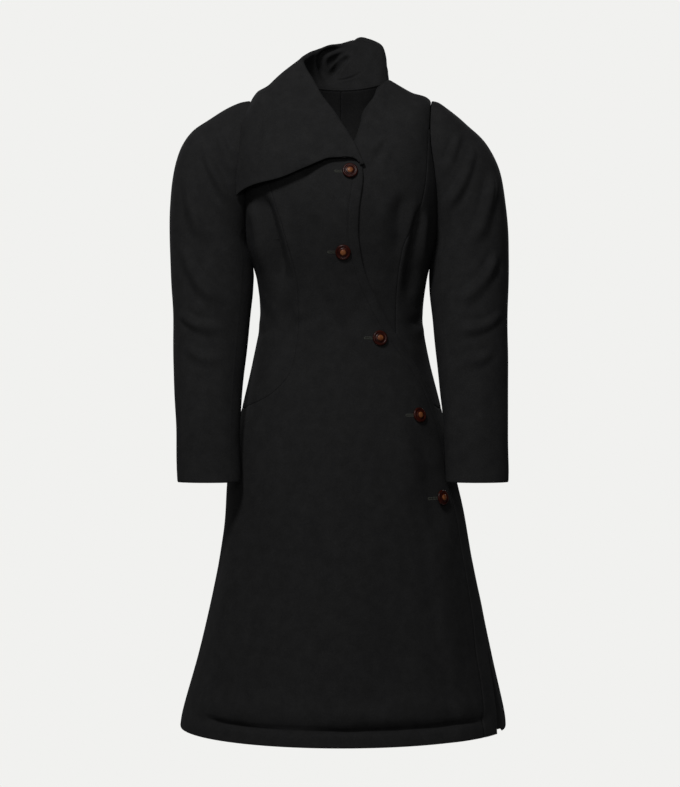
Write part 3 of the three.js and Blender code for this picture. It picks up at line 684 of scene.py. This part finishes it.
def stitch_in(level):
    """How far inside the overlap's edge its stitching runs: a wider strip towards the hem."""
    return STRIP["upper"] + (STRIP["lower"] - STRIP["upper"]) * smooth(*STRIP_WIDENS, level)


def overlap_line(from_right, level):
    deeper = (STITCH_TROUGH["lower"] - STITCH_TROUGH["upper"]) * smooth(10, 12, level)
    depth = (STITCH_TROUGH["upper"] + deeper) * smooth(2.7, 3, level)
    return depth * bell(from_right, stitch_in(level), STITCH_TROUGH["halfWidth"])


def mirrored(edge):
    return lambda level: -edge(level)


def centre_back(level):
    return 180 + 0 * level


def body_pieces():
    small = ROWS[(ROWS > PRINCESS_START - 1e-6) & (ROWS < POCKET + 1e-6)]
    return [
        panel("front_right", right_front, mirrored(front_side("right")), right_front_edge, ROWS,
              FRONT_COLUMNS, near_right=OVERLAP_EDGE, lines=overlap_line, side_grid=ledge(body, -1)),
        panel("side_front_right", right_front, mirrored(side_front), mirrored(princess("right")), small, 30),
        panel("front_left", left_front, underlap_edge, front_side("left"), ROWS, 40,
              side_grid=ledge(body, 1)),
        panel("side_front_left", body, princess("left"), side_front, small, 26),
        panel("back_right", body, mirrored(centre_back), mirrored(side_back), ROWS, 56),
        panel("back_left", body, side_back, centre_back, ROWS, 56),
    ]


def armhole_points(side, steps):
    """The armhole's own loop, from the top down the front, then up the back."""
    front = steps <= ARMHOLE_STEPS
    level = armhole_level(np.where(front, steps, 2 * ARMHOLE_STEPS - steps))
    return body(side * np.where(front, side_front(level), side_back(level)), level)


def resample_rows(grid, positions):
    """Rows at fractional positions on smooth curves through the given rows."""
    slopes = np.gradient(grid, axis=0)
    i = np.clip(positions.astype(int), 0, len(grid) - 2)
    t = (positions - i)[:, None, None]
    h = t * t * (3 - 2 * t)
    bend = slopes[i] * t * (1 - t) ** 2 - slopes[i + 1] * t * t * (1 - t)
    return grid[i] * (1 - h) + grid[i + 1] * h + bend


# A sleeve's two seams, as steps round the armhole: under the arm in front, and behind the elbow.
SLEEVE_SEAMS = (10, 18)
SEAM_STEPS = np.array([-0.42, -0.22, -0.11, 0, 0.11, 0.22, 0.42])
SEAM_DEPTH = 0.45
SEAM_WIDTH = 1.4
# About how many millimetres a step round a sleeve is, and points along it before they are spaced.
STEP_WIDTH = 18
FINE_PLACES = 400
# Under the arm a sleeve's inner side lies closer to the body than its plain rings do.
UNDERARM = {"z": -272, "reach": 26, "push": 5.5}


def sleeve_piece(hand, side):
    around = np.arange(0, 2 * ARMHOLE_STEPS, 1 / FINE_SLEEVE)
    seam_steps = np.concatenate([seam + SEAM_STEPS for seam in SLEEVE_SEAMS])
    clear = np.min(np.abs(around[:, None] - seam_steps), 1) > 0.1
    steps = np.sort(np.concatenate([around[clear], seam_steps]))
    turn = 2 * np.pi * steps / (2 * ARMHOLE_STEPS)
    half = (1 + np.cos(turn)) / 2
    armhole = armhole_points(side, steps)
    base = [armhole + np.array([side * SEAM_GAP, 0, 0])]
    for at, ring in enumerate(SLEEVES[1:], 1):
        depth = np.where(np.sin(turn) > 0, ring["front"], ring["back"])
        out_x, out_z, in_x = (ring[hand + key] for key in ("OutX", "OutZ", "InX"))
        x = side * (in_x + (out_x - in_x) * half)
        z = ring["inZ"] + (out_z - ring["inZ"]) * half
        point = np.stack([x, ring["y"] - depth * np.sin(turn), z], -1)
        if at < 3:
            blended = armhole + (point - armhole) * smooth(-1, 3, at)
            point = np.concatenate([point[:, :1], blended[:, 1:]], 1)
        base.append(point)
    base = np.array(base)
    places = np.linspace(0, len(base) - 1, FINE_PLACES)
    fine = resample_rows(base, places)
    length = travelled(fine, 0).mean(1)
    ends = np.array(FINE_EDGE)
    count = round((length[-1] - 2 * ends[-1]) / SLEEVE_STEP)
    even = np.linspace(ends[-1], length[-1] - ends[-1], count + 1)[1:-1]
    rows = np.concatenate([ends, even, length[-1] - ends[::-1]])
    outer = resample_rows(base, np.interp(rows, length, places))
    close = UNDERARM["push"] * bell(outer[..., 2], UNDERARM["z"], UNDERARM["reach"])
    outer[..., 0] -= side * close * (1 - half) ** 2
    gap = np.min(np.abs(steps[:, None] - np.array(SLEEVE_SEAMS)), 1) * STEP_WIDTH
    sunk = SEAM_DEPTH * bell(gap, 0, SEAM_WIDTH) * np.ones(len(rows))[:, None]
    if side < 0:
        outer, sunk = outer[:, ::-1], sunk[:, ::-1]
    quads = grid_quads(*outer.shape[:2], looped=True)
    return cloth("sleeve_" + hand, outer.reshape(-1, 3), quads, sunk=sunk.ravel())


# The collar's row at the lapel's point, and the first row whose foot lies on the neckline.
LAPEL_POINT = 4
LAPEL_ROWS = 8
ROLL_RADIUS = 4.5
BREAK_RADIUS = 3
COLLAR_GAP = 0.3
COLLAR_STEP = 2.6
COLLAR_COLUMNS = 66
# How far the fall starts from the body and the foot lies inside it.
FALL_START = 9.6
FOOT_INSIDE = -1.5
# How often the collar's normals are averaged, before and after the folds.
FACING_PASSES = 8
COLLAR_PASSES = 6
COARSE_PLACES = 200
SECTION_PLACES = 300
STAND_STATIONS = (0.12, 0.4, 0.7, 1)
ROLL_STATIONS = (-45, 0, 45, 90)
FALL_STATIONS = (0.18, 0.38, 0.6, 0.8, 1)
UPRIGHT_STATIONS = (0.09, 0.3, 0.55, 0.75, 0.8, 0.84, 0.87, 0.9, 0.92, 0.94, 0.96, 0.98, 1)
# The deep tilted fold where the rolled part of the collar turns into the upright part.
HOLLOW = {"x": -10, "z": 78, "tilt": 62, "halfLength": 30, "halfWidth": 16, "depth": 13}


def collar_column(key, at):
    rows = COLLAR
    if key.startswith("edge"):
        rows = COLLAR[: LAPEL_POINT + 1] if at < LAPEL_POINT else COLLAR[LAPEL_POINT:]
    return float(curve(rows, "row", key, at))


def roll_point(at):
    return np.array([collar_column(key, at) for key in "xyz"])


def base_place(at):
    """The lapel's base lies on the right front's neck edge, the rest on the neckline."""
    level = max(0.0, collar_column("sewn", at))
    if at < LAPEL_ROWS:
        return float(neck_edge(level)), level
    return collar_column("base", at), level


def over(angle, level, lift):
    """A place over the body, lifted forwards over the chest rather than sideways."""
    normal = body_normal(angle, level) * np.array([0.25, 1, 1])
    return body(angle, level) + unit(normal) * lift


def collar_base(at):
    angle, level = base_place(at)
    point = right_front(angle, level, FOOT_INSIDE)
    normal = body_normal(angle, level)
    away = roll_point(at) - point
    away = away - normal * (away @ normal)
    return point + unit(away) * COLLAR_GAP


def collar_fold(at, foot, outwards, up):
    radius = BREAK_RADIUS + (ROLL_RADIUS - BREAK_RADIUS) * float(smooth(0, 3, at))
    centre = roll_point(at) - up * radius

    def turned(degrees):
        angle = math.radians(degrees)
        return centre + up * radius * math.cos(angle) + outwards * radius * math.sin(angle)

    stand = [foot + (turned(-90) - foot) * share for share in STAND_STATIONS]
    bend = [turned(degrees) for degrees in ROLL_STATIONS]
    angle, level = base_place(at)
    jump = turned(90) - over(angle, level, FALL_START)
    edge_angle, edge_level, edge_lift, bulge = (
        collar_column(key, at) for key in ("edge", "edgeLevel", "lift", "bulge"))
    fall = []
    for share in FALL_STATIONS:
        lift = FALL_START + (edge_lift - FALL_START) * share + bulge * math.sin(math.pi * share)
        place = over(angle + (edge_angle - angle) * share, level + (edge_level - level) * share, lift)
        fall.append(place + jump * (1 - share) ** 1.4)
    return stand + bend + fall


def collar_section(at):
    foot = collar_base(at)
    roll = roll_point(at)
    along = unit(roll_point(min(at + 0.3, len(COLLAR) - 1)) - roll_point(max(at - 0.3, 0)))
    up = roll - foot
    up = unit(up - along * (up @ along))
    outwards = unit(np.cross(along, up))
    if outwards @ body_normal(*base_place(at)) < 0:
        outwards = -outwards
    folded = np.array(collar_fold(at, foot, outwards, up))
    upright = min(1.0, max(0.0, collar_column("upright", at)))
    straight = foot + (roll - foot) * np.array(UPRIGHT_STATIONS)[:, None]
    section = folded + (straight - folded) * upright
    tilt = math.radians(HOLLOW["tilt"])
    x, z = section[:, 0] - HOLLOW["x"], section[:, 2] - HOLLOW["z"]
    along_fold = x * math.cos(tilt) + z * math.sin(tilt)
    across_fold = z * math.cos(tilt) - x * math.sin(tilt)
    near = (along_fold / HOLLOW["halfLength"]) ** 2 + (across_fold / HOLLOW["halfWidth"]) ** 2
    section[:, 1] += np.where(section[:, 1] > 0, HOLLOW["depth"] * np.exp(-near), 0)
    return np.concatenate([foot[None], section])


def along_section(points, count):
    """A section resampled on a smooth curve at even steps, closer at its free edge."""
    fine = resample_rows(points[:, None], np.linspace(0, len(points) - 1, SECTION_PLACES))[:, 0]
    length = travelled(fine, 0)
    ends = np.array(FINE_EDGE) / max(1, 3.2 * FINE_EDGE[-1] / length[-1])
    even = np.linspace(ends[-1], length[-1] - ends[-1], count)[1:-1]
    stations = np.concatenate([ends, even, length[-1] - ends[::-1]])
    place = [np.interp(stations, length, fine[:, k]) for k in range(3)]
    return np.stack(place, 1)


def collar_piece():
    last = len(COLLAR) - 1
    places = np.linspace(0, last, COARSE_PLACES)
    roll = np.array([roll_point(at) for at in places])
    edge = np.array([collar_section(at)[-1] for at in places])
    length = (travelled(roll, 0) + travelled(edge, 0)) / 2
    even = np.linspace(0, length[-1], round(length[-1] / COLLAR_STEP))
    stations = np.interp(even, length, places)
    stations = np.concatenate([stations[:-1], [last - 0.035, last - 0.015, last]])
    clear = np.abs(stations - LAPEL_POINT) > 0.6 * (last / len(even))
    stations = np.sort(np.append(stations[clear], LAPEL_POINT))
    outer = np.array([along_section(collar_section(at), COLLAR_COLUMNS) for at in stations])
    facing = grid_normals(outer)
    for _ in range(FACING_PASSES):
        facing[1:-1] = unit(facing[:-2] + 2 * facing[1:-1] + facing[2:])
    outer = outer + facing * CLOTH / 2
    foot = np.zeros(outer.shape[:2], bool)
    foot[:, 0] = True
    quads = grid_quads(*outer.shape[:2])
    return cloth("collar", outer.reshape(-1, 3), quads, square=foot.ravel(), passes=COLLAR_PASSES)


BUTTONS = rows_of(
    "angle level",
    (5.1, 2.9), (1.2, 5.35), (25.9, 7.5), (46.6, 9.3), (54.9, 11.3),
)
BUTTON_SEAT = 0.35
BUTTON_SIDES = 72

# Half profiles of a button's body and of the raised round centre that sits in it.
BODY_PROFILE = rows_of(
    "radius height",
    (0.6, 0), (11.3, 0), (12.4, 0.4), (13, 1.3), (12.95, 2.4), (12.5, 3.3), (11.7, 3.95), (10.8, 4.2),
    (10, 4.05), (9.3, 3.6), (8.6, 3.35), (7.9, 3.5), (7.3, 3.9), (6.8, 4.3), (5, 4.5), (2.5, 4.6),
    (0.2, 4.6),
)
CENTRE_PROFILE = rows_of(
    "radius height",
    (0.3, 3.8), (4.2, 3.8), (4.9, 4.2), (5, 4.8), (4.8, 5.4), (4.2, 5.95), (3.4, 6.3), (2.3, 6.55),
    (1.1, 6.65), (0.2, 6.68),
)


def lathe(name, profile, seat, normal):
    across = unit(np.cross(normal, [0, 0, 1]))
    upwards = np.cross(across, normal)
    turns = np.linspace(0, 2 * np.pi, BUTTON_SIDES, endpoint=False)[:, None]
    ring = np.cos(turns) * across + np.sin(turns) * upwards
    points = np.concatenate([seat + ring * row["radius"] + normal * row["height"] for row in profile])
    faces = grid_quads(len(profile), BUTTON_SIDES, looped=True).tolist()
    faces.append(tuple(range(BUTTON_SIDES)))
    faces.append(tuple(reversed(range(len(points) - BUTTON_SIDES, len(points)))))
    return add_mesh(name, points, faces)


def button_pieces():
    for row in BUTTONS:
        name = f"button_{row['row'] + 1}"
        normal = body_normal(row["angle"], row["level"])
        seat = right_front(row["angle"], row["level"], BUTTON_SEAT)
        body_piece = lathe(name + "_body", BODY_PROFILE, seat, normal)
        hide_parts(name)
        yield body_piece, lathe(name + "_centre", CENTRE_PROFILE, seat, normal)


# One stitch is a short tube: places along its half length, and radii and depths in thread radii.
THREAD_SIDES = 6
THREAD_RINGS = rows_of(
    "along reach sink",
    (-1, 0.3, 1.3), (-0.72, 0.85, 0.5), (0, 1, 0), (0.72, 0.85, 0.5), (1, 0.3, 1.3),
)
STITCH = 3.6
STITCH_SHARE = 0.41
THREAD_RADIUS = 0.42
THREAD_LIFT = 0.05
# The overlap's stitching in two parts, the lower one thicker so that its dark thread also stands in as
# painted shade of the groove it lies in.
OVERLAP_STITCHING = rows_of(
    "name start end radius",
    ("upper", 2.95, 9.6, THREAD_RADIUS), ("lower", 9.6, 16, 0.85),
)
COLLAR_STITCH_COLUMN = -5
COLLAR_STITCH_FROM = 0.5
BUTTONHOLE = {"from": 4, "to": -24, "halfWidth": 1.5, "spacing": 0.95, "halfStitch": 1.3, "lift": 0.3}
BUTTONHOLE_TURNS = (-60, -30, 0, 30, 60)


def stitches(name, centres, directions, normals, half_length, radius):
    """Short lengths of thread on the cloth, each a tube that dives in at both ends."""
    directions = unit(directions)
    sideways = np.cross(directions, normals)
    turns = 2 * np.pi * np.arange(THREAD_SIDES) / THREAD_SIDES
    rings = []
    for row in THREAD_RINGS:
        middle = centres + directions * half_length * row["along"] - normals * radius * row["sink"]
        for turn in turns:
            rings.append(middle + radius * row["reach"] * (sideways * np.cos(turn) + normals * np.sin(turn)))
    points = np.stack(rings, 1)
    tube = grid_quads(len(THREAD_RINGS), THREAD_SIDES, looped=True)[:, ::-1]
    size = points.shape[1]
    caps = [tuple(range(THREAD_SIDES)), tuple(range(size - 1, size - 1 - THREAD_SIDES, -1))]
    faces = []
    for number in range(len(points)):
        faces += (tube + number * size).tolist()
        faces += [tuple(number * size + k for k in cap) for cap in caps]
    return add_mesh(name, points.reshape(-1, 3), faces)


def sewn_line(name, path, normals, radius=THREAD_RADIUS):
    """A row of topstitching along a path."""
    length = travelled(path, 0)
    starts = np.arange(STITCH / 2, length[-1], STITCH)

    def at(values, places):
        return np.stack([np.interp(places, length, values[:, k]) for k in range(3)], 1)

    directions = at(path, starts + 0.5) - at(path, starts - 0.5)
    out = unit(at(normals, starts))
    centres = at(path, starts) + out * THREAD_LIFT
    return stitches(name, centres, directions, out, STITCH * STITCH_SHARE, radius)


def on_front(angle, level):
    """A place on the right front's finished face, and its normal."""
    face = FACES["front_right"]
    place = right_front(angle, level)
    nearest = int(np.argmin(np.sum((face["flat"] - place) ** 2, 1)))
    normal = face["normals"][nearest]
    return place + normal * ((face["top"][nearest] - face["flat"][nearest]) @ normal), normal


def buttonhole(row):
    """A bound slit that reaches out from under its button towards the wearer's right."""
    angle, level, half = row["angle"], row["level"], BUTTONHOLE["halfWidth"]
    place, normal = on_front(angle, level)
    scale = degree_width(angle, level)
    far, _ = on_front(angle + BUTTONHOLE["to"] / scale, level)
    along = unit(place - far)
    across = unit(np.cross(normal, along))
    straight = np.arange(BUTTONHOLE["to"], BUTTONHOLE["from"], BUTTONHOLE["spacing"])
    spots = [(x, side * half, 0, side) for side in (-1, 1) for x in straight]
    for x, way in ((BUTTONHOLE["to"], -1), (BUTTONHOLE["from"], 1)):
        for turn in BUTTONHOLE_TURNS:
            c, t = math.cos(math.radians(turn)), math.sin(math.radians(turn))
            spots.append((x + way * c * half, t * half, way * c, t))
    centres, directions, normals = [], [], []
    for x, y, dx, dy in spots:
        centre, out = on_front(angle + x / scale, level)
        centres.append(centre + across * y + out * BUTTONHOLE["lift"])
        directions.append(along * dx + across * dy)
        normals.append(out)
    sewn = [np.array(rows) for rows in (centres, directions, normals)]
    return stitches(f"buttonhole_{row['row'] + 1}", *sewn, BUTTONHOLE["halfStitch"], THREAD_RADIUS)


def topstitching():
    """The overlap's edge line and the line under the collar's free edge, on both of its faces."""
    columns = len(FINE_EDGE) + FRONT_COLUMNS + len(OVERLAP_EDGE)
    face = FACES["front_right"]
    size = len(ROWS) * columns
    reach = len(OVERLAP_EDGE)
    near = [face[key][:size].reshape(len(ROWS), columns, 3)[:, :-reach - 1:-1] for key in ("top", "normals")]

    def stitched(grid, row):
        return [np.interp(stitch_in(ROWS[row]), OVERLAP_EDGE, grid[row, :, k]) for k in range(3)]

    pieces = []
    for part in OVERLAP_STITCHING:
        rows = np.flatnonzero((ROWS > part["start"]) & (ROWS < part["end"]))
        path, out = (np.array([stitched(grid, row) for row in rows]) for grid in near)
        pieces.append(sewn_line("overlap_stitching_" + part["name"], path, out, part["radius"]))
    face = FACES["collar"]
    size = COLLAR_COLUMNS - 2 + 2 * len(FINE_EDGE)
    rows = np.arange(len(face["top"]) // size)
    rows = rows[rows > COLLAR_STITCH_FROM * len(rows)]
    column = rows * size + size + COLLAR_STITCH_COLUMN
    out = face["normals"][column]
    pieces.append(sewn_line("collar_stitching_out", face["top"][column], out))
    pieces.append(sewn_line("collar_stitching_in", face["under"][column], -out))
    return pieces


def set_inputs(node, values):
    for socket, value in values.items():
        node.inputs[socket].default_value = value


class Shading:
    """A material and the nodes that its look is built from."""

    def __init__(self, name):
        self.material = bpy.data.materials.new(name)
        self.material.use_nodes = True
        self.nodes, self.links = self.material.node_tree.nodes, self.material.node_tree.links
        self.shader = self.nodes["Principled BSDF"]
        self.place = self.nodes.new("ShaderNodeTexCoord").outputs["Object"]

    def noise(self, scale, detail, roughness=0.55):
        texture = self.nodes.new("ShaderNodeTexNoise")
        set_inputs(texture, {"Scale": scale, "Detail": detail, "Roughness": roughness})
        self.links.new(self.place, texture.inputs["Vector"])
        return texture.outputs["Fac"]

    def colour(self, factor, stops):
        node = self.nodes.new("ShaderNodeValToRGB")
        node.color_ramp.elements[0].position = stops[0][0]
        node.color_ramp.elements[1].position = stops[-1][0]
        for position, _ in stops[1:-1]:
            node.color_ramp.elements.new(position)
        for element, (_, colour) in zip(node.color_ramp.elements, stops):
            element.color = (*colour, 1)
        self.links.new(factor, node.inputs["Fac"])
        self.links.new(node.outputs["Color"], self.shader.inputs["Base Color"])

    def bump(self, height, strength, distance):
        """Adds a bump on top of the earlier ones."""
        node = self.nodes.new("ShaderNodeBump")
        set_inputs(node, {"Strength": strength, "Distance": distance})
        self.links.new(height, node.inputs["Height"])
        normal = self.shader.inputs["Normal"]
        if normal.is_linked:
            self.links.new(normal.links[0].from_socket, node.inputs["Normal"])
        self.links.new(node.outputs["Normal"], normal)


# Places and colours of each material's ramp.
WOOL_STOPS = [(0.34, (0.015, 0.015, 0.0153)), (0.5, (0.0245, 0.0245, 0.0249)),
              (0.68, (0.0385, 0.0385, 0.039))]
DARK_RESIN_STOPS = [(0.3, (0.016, 0.0018, 0.001)), (0.7, (0.056, 0.0065, 0.0022))]
AMBER_RESIN_STOPS = [(0.3, (0.16, 0.042, 0.012)), (0.7, (0.36, 0.13, 0.045))]
# The topstitching thread is darker than the cloth: partly the thread's own colour, partly painted shade of
# the overlap stitching's groove.
THREAD_AND_GROOVE_SHADE_STOPS = [(0.35, (0.006, 0.0062, 0.0066)), (0.7, (0.018, 0.0185, 0.019))]
OLIVE_THREAD_STOPS = [(0.35, (0.03, 0.031, 0.026)), (0.7, (0.13, 0.135, 0.115))]
NAP_SHARE = 0.78
CLOUD_SHARE = 0.22


def wool_material():
    """A brushed, milled wool: soft mottling, short nap and a faint sheen."""
    look = Shading("wool_melton")
    cloudy = look.noise(55, 5)
    nap = look.noise(1150, 3, 0.7)
    scaled, mixed = (look.nodes.new("ShaderNodeMath") for _ in range(2))
    scaled.operation = "MULTIPLY"
    scaled.inputs[1].default_value = CLOUD_SHARE
    look.links.new(cloudy, scaled.inputs[0])
    mixed.operation = "MULTIPLY_ADD"
    mixed.inputs[1].default_value = NAP_SHARE
    look.links.new(nap, mixed.inputs[0])
    look.links.new(scaled.outputs[0], mixed.inputs[2])
    look.colour(mixed.outputs[0], WOOL_STOPS)
    set_inputs(look.shader, {"Roughness": 0.92, "Specular IOR Level": 0.06, "Sheen Weight": 0.012,
                             "Sheen Roughness": 0.55, "Sheen Tint": (0.8, 0.82, 0.88, 1)})
    look.bump(look.noise(240, 4), 0.22, 0.0012)
    look.bump(nap, 0.45, 0.0005)
    return look.material


def thread_material(name, stops):
    look = Shading(name)
    twist = look.noise(1400, 2)
    look.colour(twist, stops)
    set_inputs(look.shader, {"Roughness": 0.7, "Specular IOR Level": 0.15})
    look.bump(twist, 0.4, 0.0003)
    return look.material


def resin_material(name, stops, scale):
    """Polished resin with cloudy streaks."""
    look = Shading(name)
    look.colour(look.noise(scale, 4), stops)
    set_inputs(look.shader, {"Roughness": 0.36, "Coat Weight": 0.05, "Specular IOR Level": 0.28,
                             "Coat Roughness": 0.2, "IOR": 1.45})
    look.bump(look.noise(scale * 6, 2), 0.12, 0.0004)
    return look.material


# The pieces as they were cut, in metres and square metres, a sleeve's width being all round.
CUTS = rows_of(
    "name width length area on",
    ("front_right", 0.64, 1.17, 0.43, "back_right collar"),
    ("side_front_right", 0.12, 0.66, 0.05, "front_right"),
    ("front_left", 0.25, 1.17, 0.156, "back_left collar"),
    ("side_front_left", 0.1, 0.66, 0.041, "front_left"),
    ("back_right", 0.4, 1.19, 0.292, "front_right collar"),
    ("back_left", 0.4, 1.19, 0.297, "front_left collar"),
    ("sleeve_right", 0.48, 0.74, 0.238, "front_right back_right"),
    ("sleeve_left", 0.47, 0.73, 0.23, "front_left back_left"),
    ("collar", 0.18, 0.62, 0.078, "front_right back_right back_left"),
)


def declare(piece, row):
    name = row["name"]
    nodes = ["top_" + name, "under_" + name] if name.startswith("sleeve") else [name]
    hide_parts(*nodes)


CAMERA = {"lens": 78.42, "sensor": 36, "place": (-0.00175, -3, -0.513)}
# Lights' places and targets in metres, their sizes and powers.
LIGHTS = rows_of(
    "name place size power target",
    ("key", (-0.75, -1.85, 1.6), 0.6, 29, (0, 0, -0.35)),
    ("front", (0.2, -3.2, 0.3), 0.5, 8, (0, 0, -0.3)),
    ("back_left", (1.5, 2.3, 1.0), 1.1, 15, (0, 0, -0.5)),
    ("back_right", (-1.7, 2.0, 0.8), 1.1, 11, (0, 0, -0.5)),
)
BACKGROUND = (0.879, 0.879, 0.863, 1)
FILL_COLOUR = (1, 1, 0.99, 1)
FILL_LIGHT = 0.06
FLOOR = {"radius": 0.8, "z": -1.42, "sides": 96}
FLOOR_COLOUR = (0.78, 0.78, 0.77, 1)


def add_camera():
    data = bpy.data.cameras.new("camera")
    data.lens = CAMERA["lens"]
    data.sensor_width = CAMERA["sensor"]
    camera = linked("camera", data)
    camera.location = CAMERA["place"]
    camera.rotation_euler = (math.pi / 2, 0, 0)
    bpy.context.scene.camera = camera


def add_light(row):
    data = bpy.data.lights.new(row["name"], "AREA")
    data.shape = "DISK"
    data.size = row["size"]
    data.energy = row["power"]
    light = linked(row["name"], data)
    light.location = row["place"]
    aim = np.array(row["target"]) - np.array(row["place"])
    flat = math.hypot(aim[0], aim[1])
    light.rotation_euler = (math.atan2(flat, -aim[2]), 0, math.atan2(-aim[0], aim[1]))


def add_surroundings():
    world = bpy.data.worlds.new("studio")
    world.use_nodes = True
    nodes, links = world.node_tree.nodes, world.node_tree.links
    shown = nodes["Background"]
    set_inputs(shown, {"Color": BACKGROUND, "Strength": 1})
    fill = nodes.new("ShaderNodeBackground")
    set_inputs(fill, {"Color": FILL_COLOUR, "Strength": FILL_LIGHT})
    seen = nodes.new("ShaderNodeLightPath").outputs["Is Camera Ray"]
    mixed = nodes.new("ShaderNodeMixShader")
    links.new(seen, mixed.inputs[0])
    links.new(fill.outputs[0], mixed.inputs[1])
    links.new(shown.outputs[0], mixed.inputs[2])
    links.new(mixed.outputs[0], nodes["World Output"].inputs["Surface"])
    bpy.context.scene.world = world
    bpy.context.scene.view_settings.view_transform = "Standard"
    for row in LIGHTS:
        add_light(row)
    turns = [2 * math.pi * k / FLOOR["sides"] for k in range(FLOOR["sides"])]
    radius = FLOOR["radius"]
    ring = [(radius * math.cos(turn), radius * math.sin(turn), FLOOR["z"]) for turn in turns]
    mesh = bpy.data.meshes.new("floor")
    mesh.from_pydata(ring, [], [tuple(range(FLOOR["sides"]))])
    floor = linked("floor", mesh)
    look = Shading("pale_floor")
    set_inputs(look.shader, {"Base Color": FLOOR_COLOUR, "Roughness": 0.7})
    mesh.materials.append(look.material)


add_camera()
add_surroundings()
cloth_pieces = [*body_pieces(), sleeve_piece("right", -1), sleeve_piece("left", 1), collar_piece()]
wool = wool_material()
for piece, row in zip(cloth_pieces, CUTS):
    piece.data.materials.append(wool)
    declare(piece, row)
buttons = list(button_pieces())
dark_resin = resin_material("dark_resin", DARK_RESIN_STOPS, 120)
amber_resin = resin_material("amber_resin", AMBER_RESIN_STOPS, 200)
# Thread darker than the cloth: partly its own colour, partly painted shade of the stitching's groove.
thread = thread_material("thread_and_groove_shade", THREAD_AND_GROOVE_SHADE_STOPS)
olive = thread_material("olive_thread", OLIVE_THREAD_STOPS)
for piece in topstitching():
    piece.data.materials.append(thread)
for row in BUTTONS:
    buttonhole(row).data.materials.append(olive)
for body_piece, centre in buttons:
    body_piece.data.materials.append(dark_resin)
    centre.data.materials.append(amber_resin)
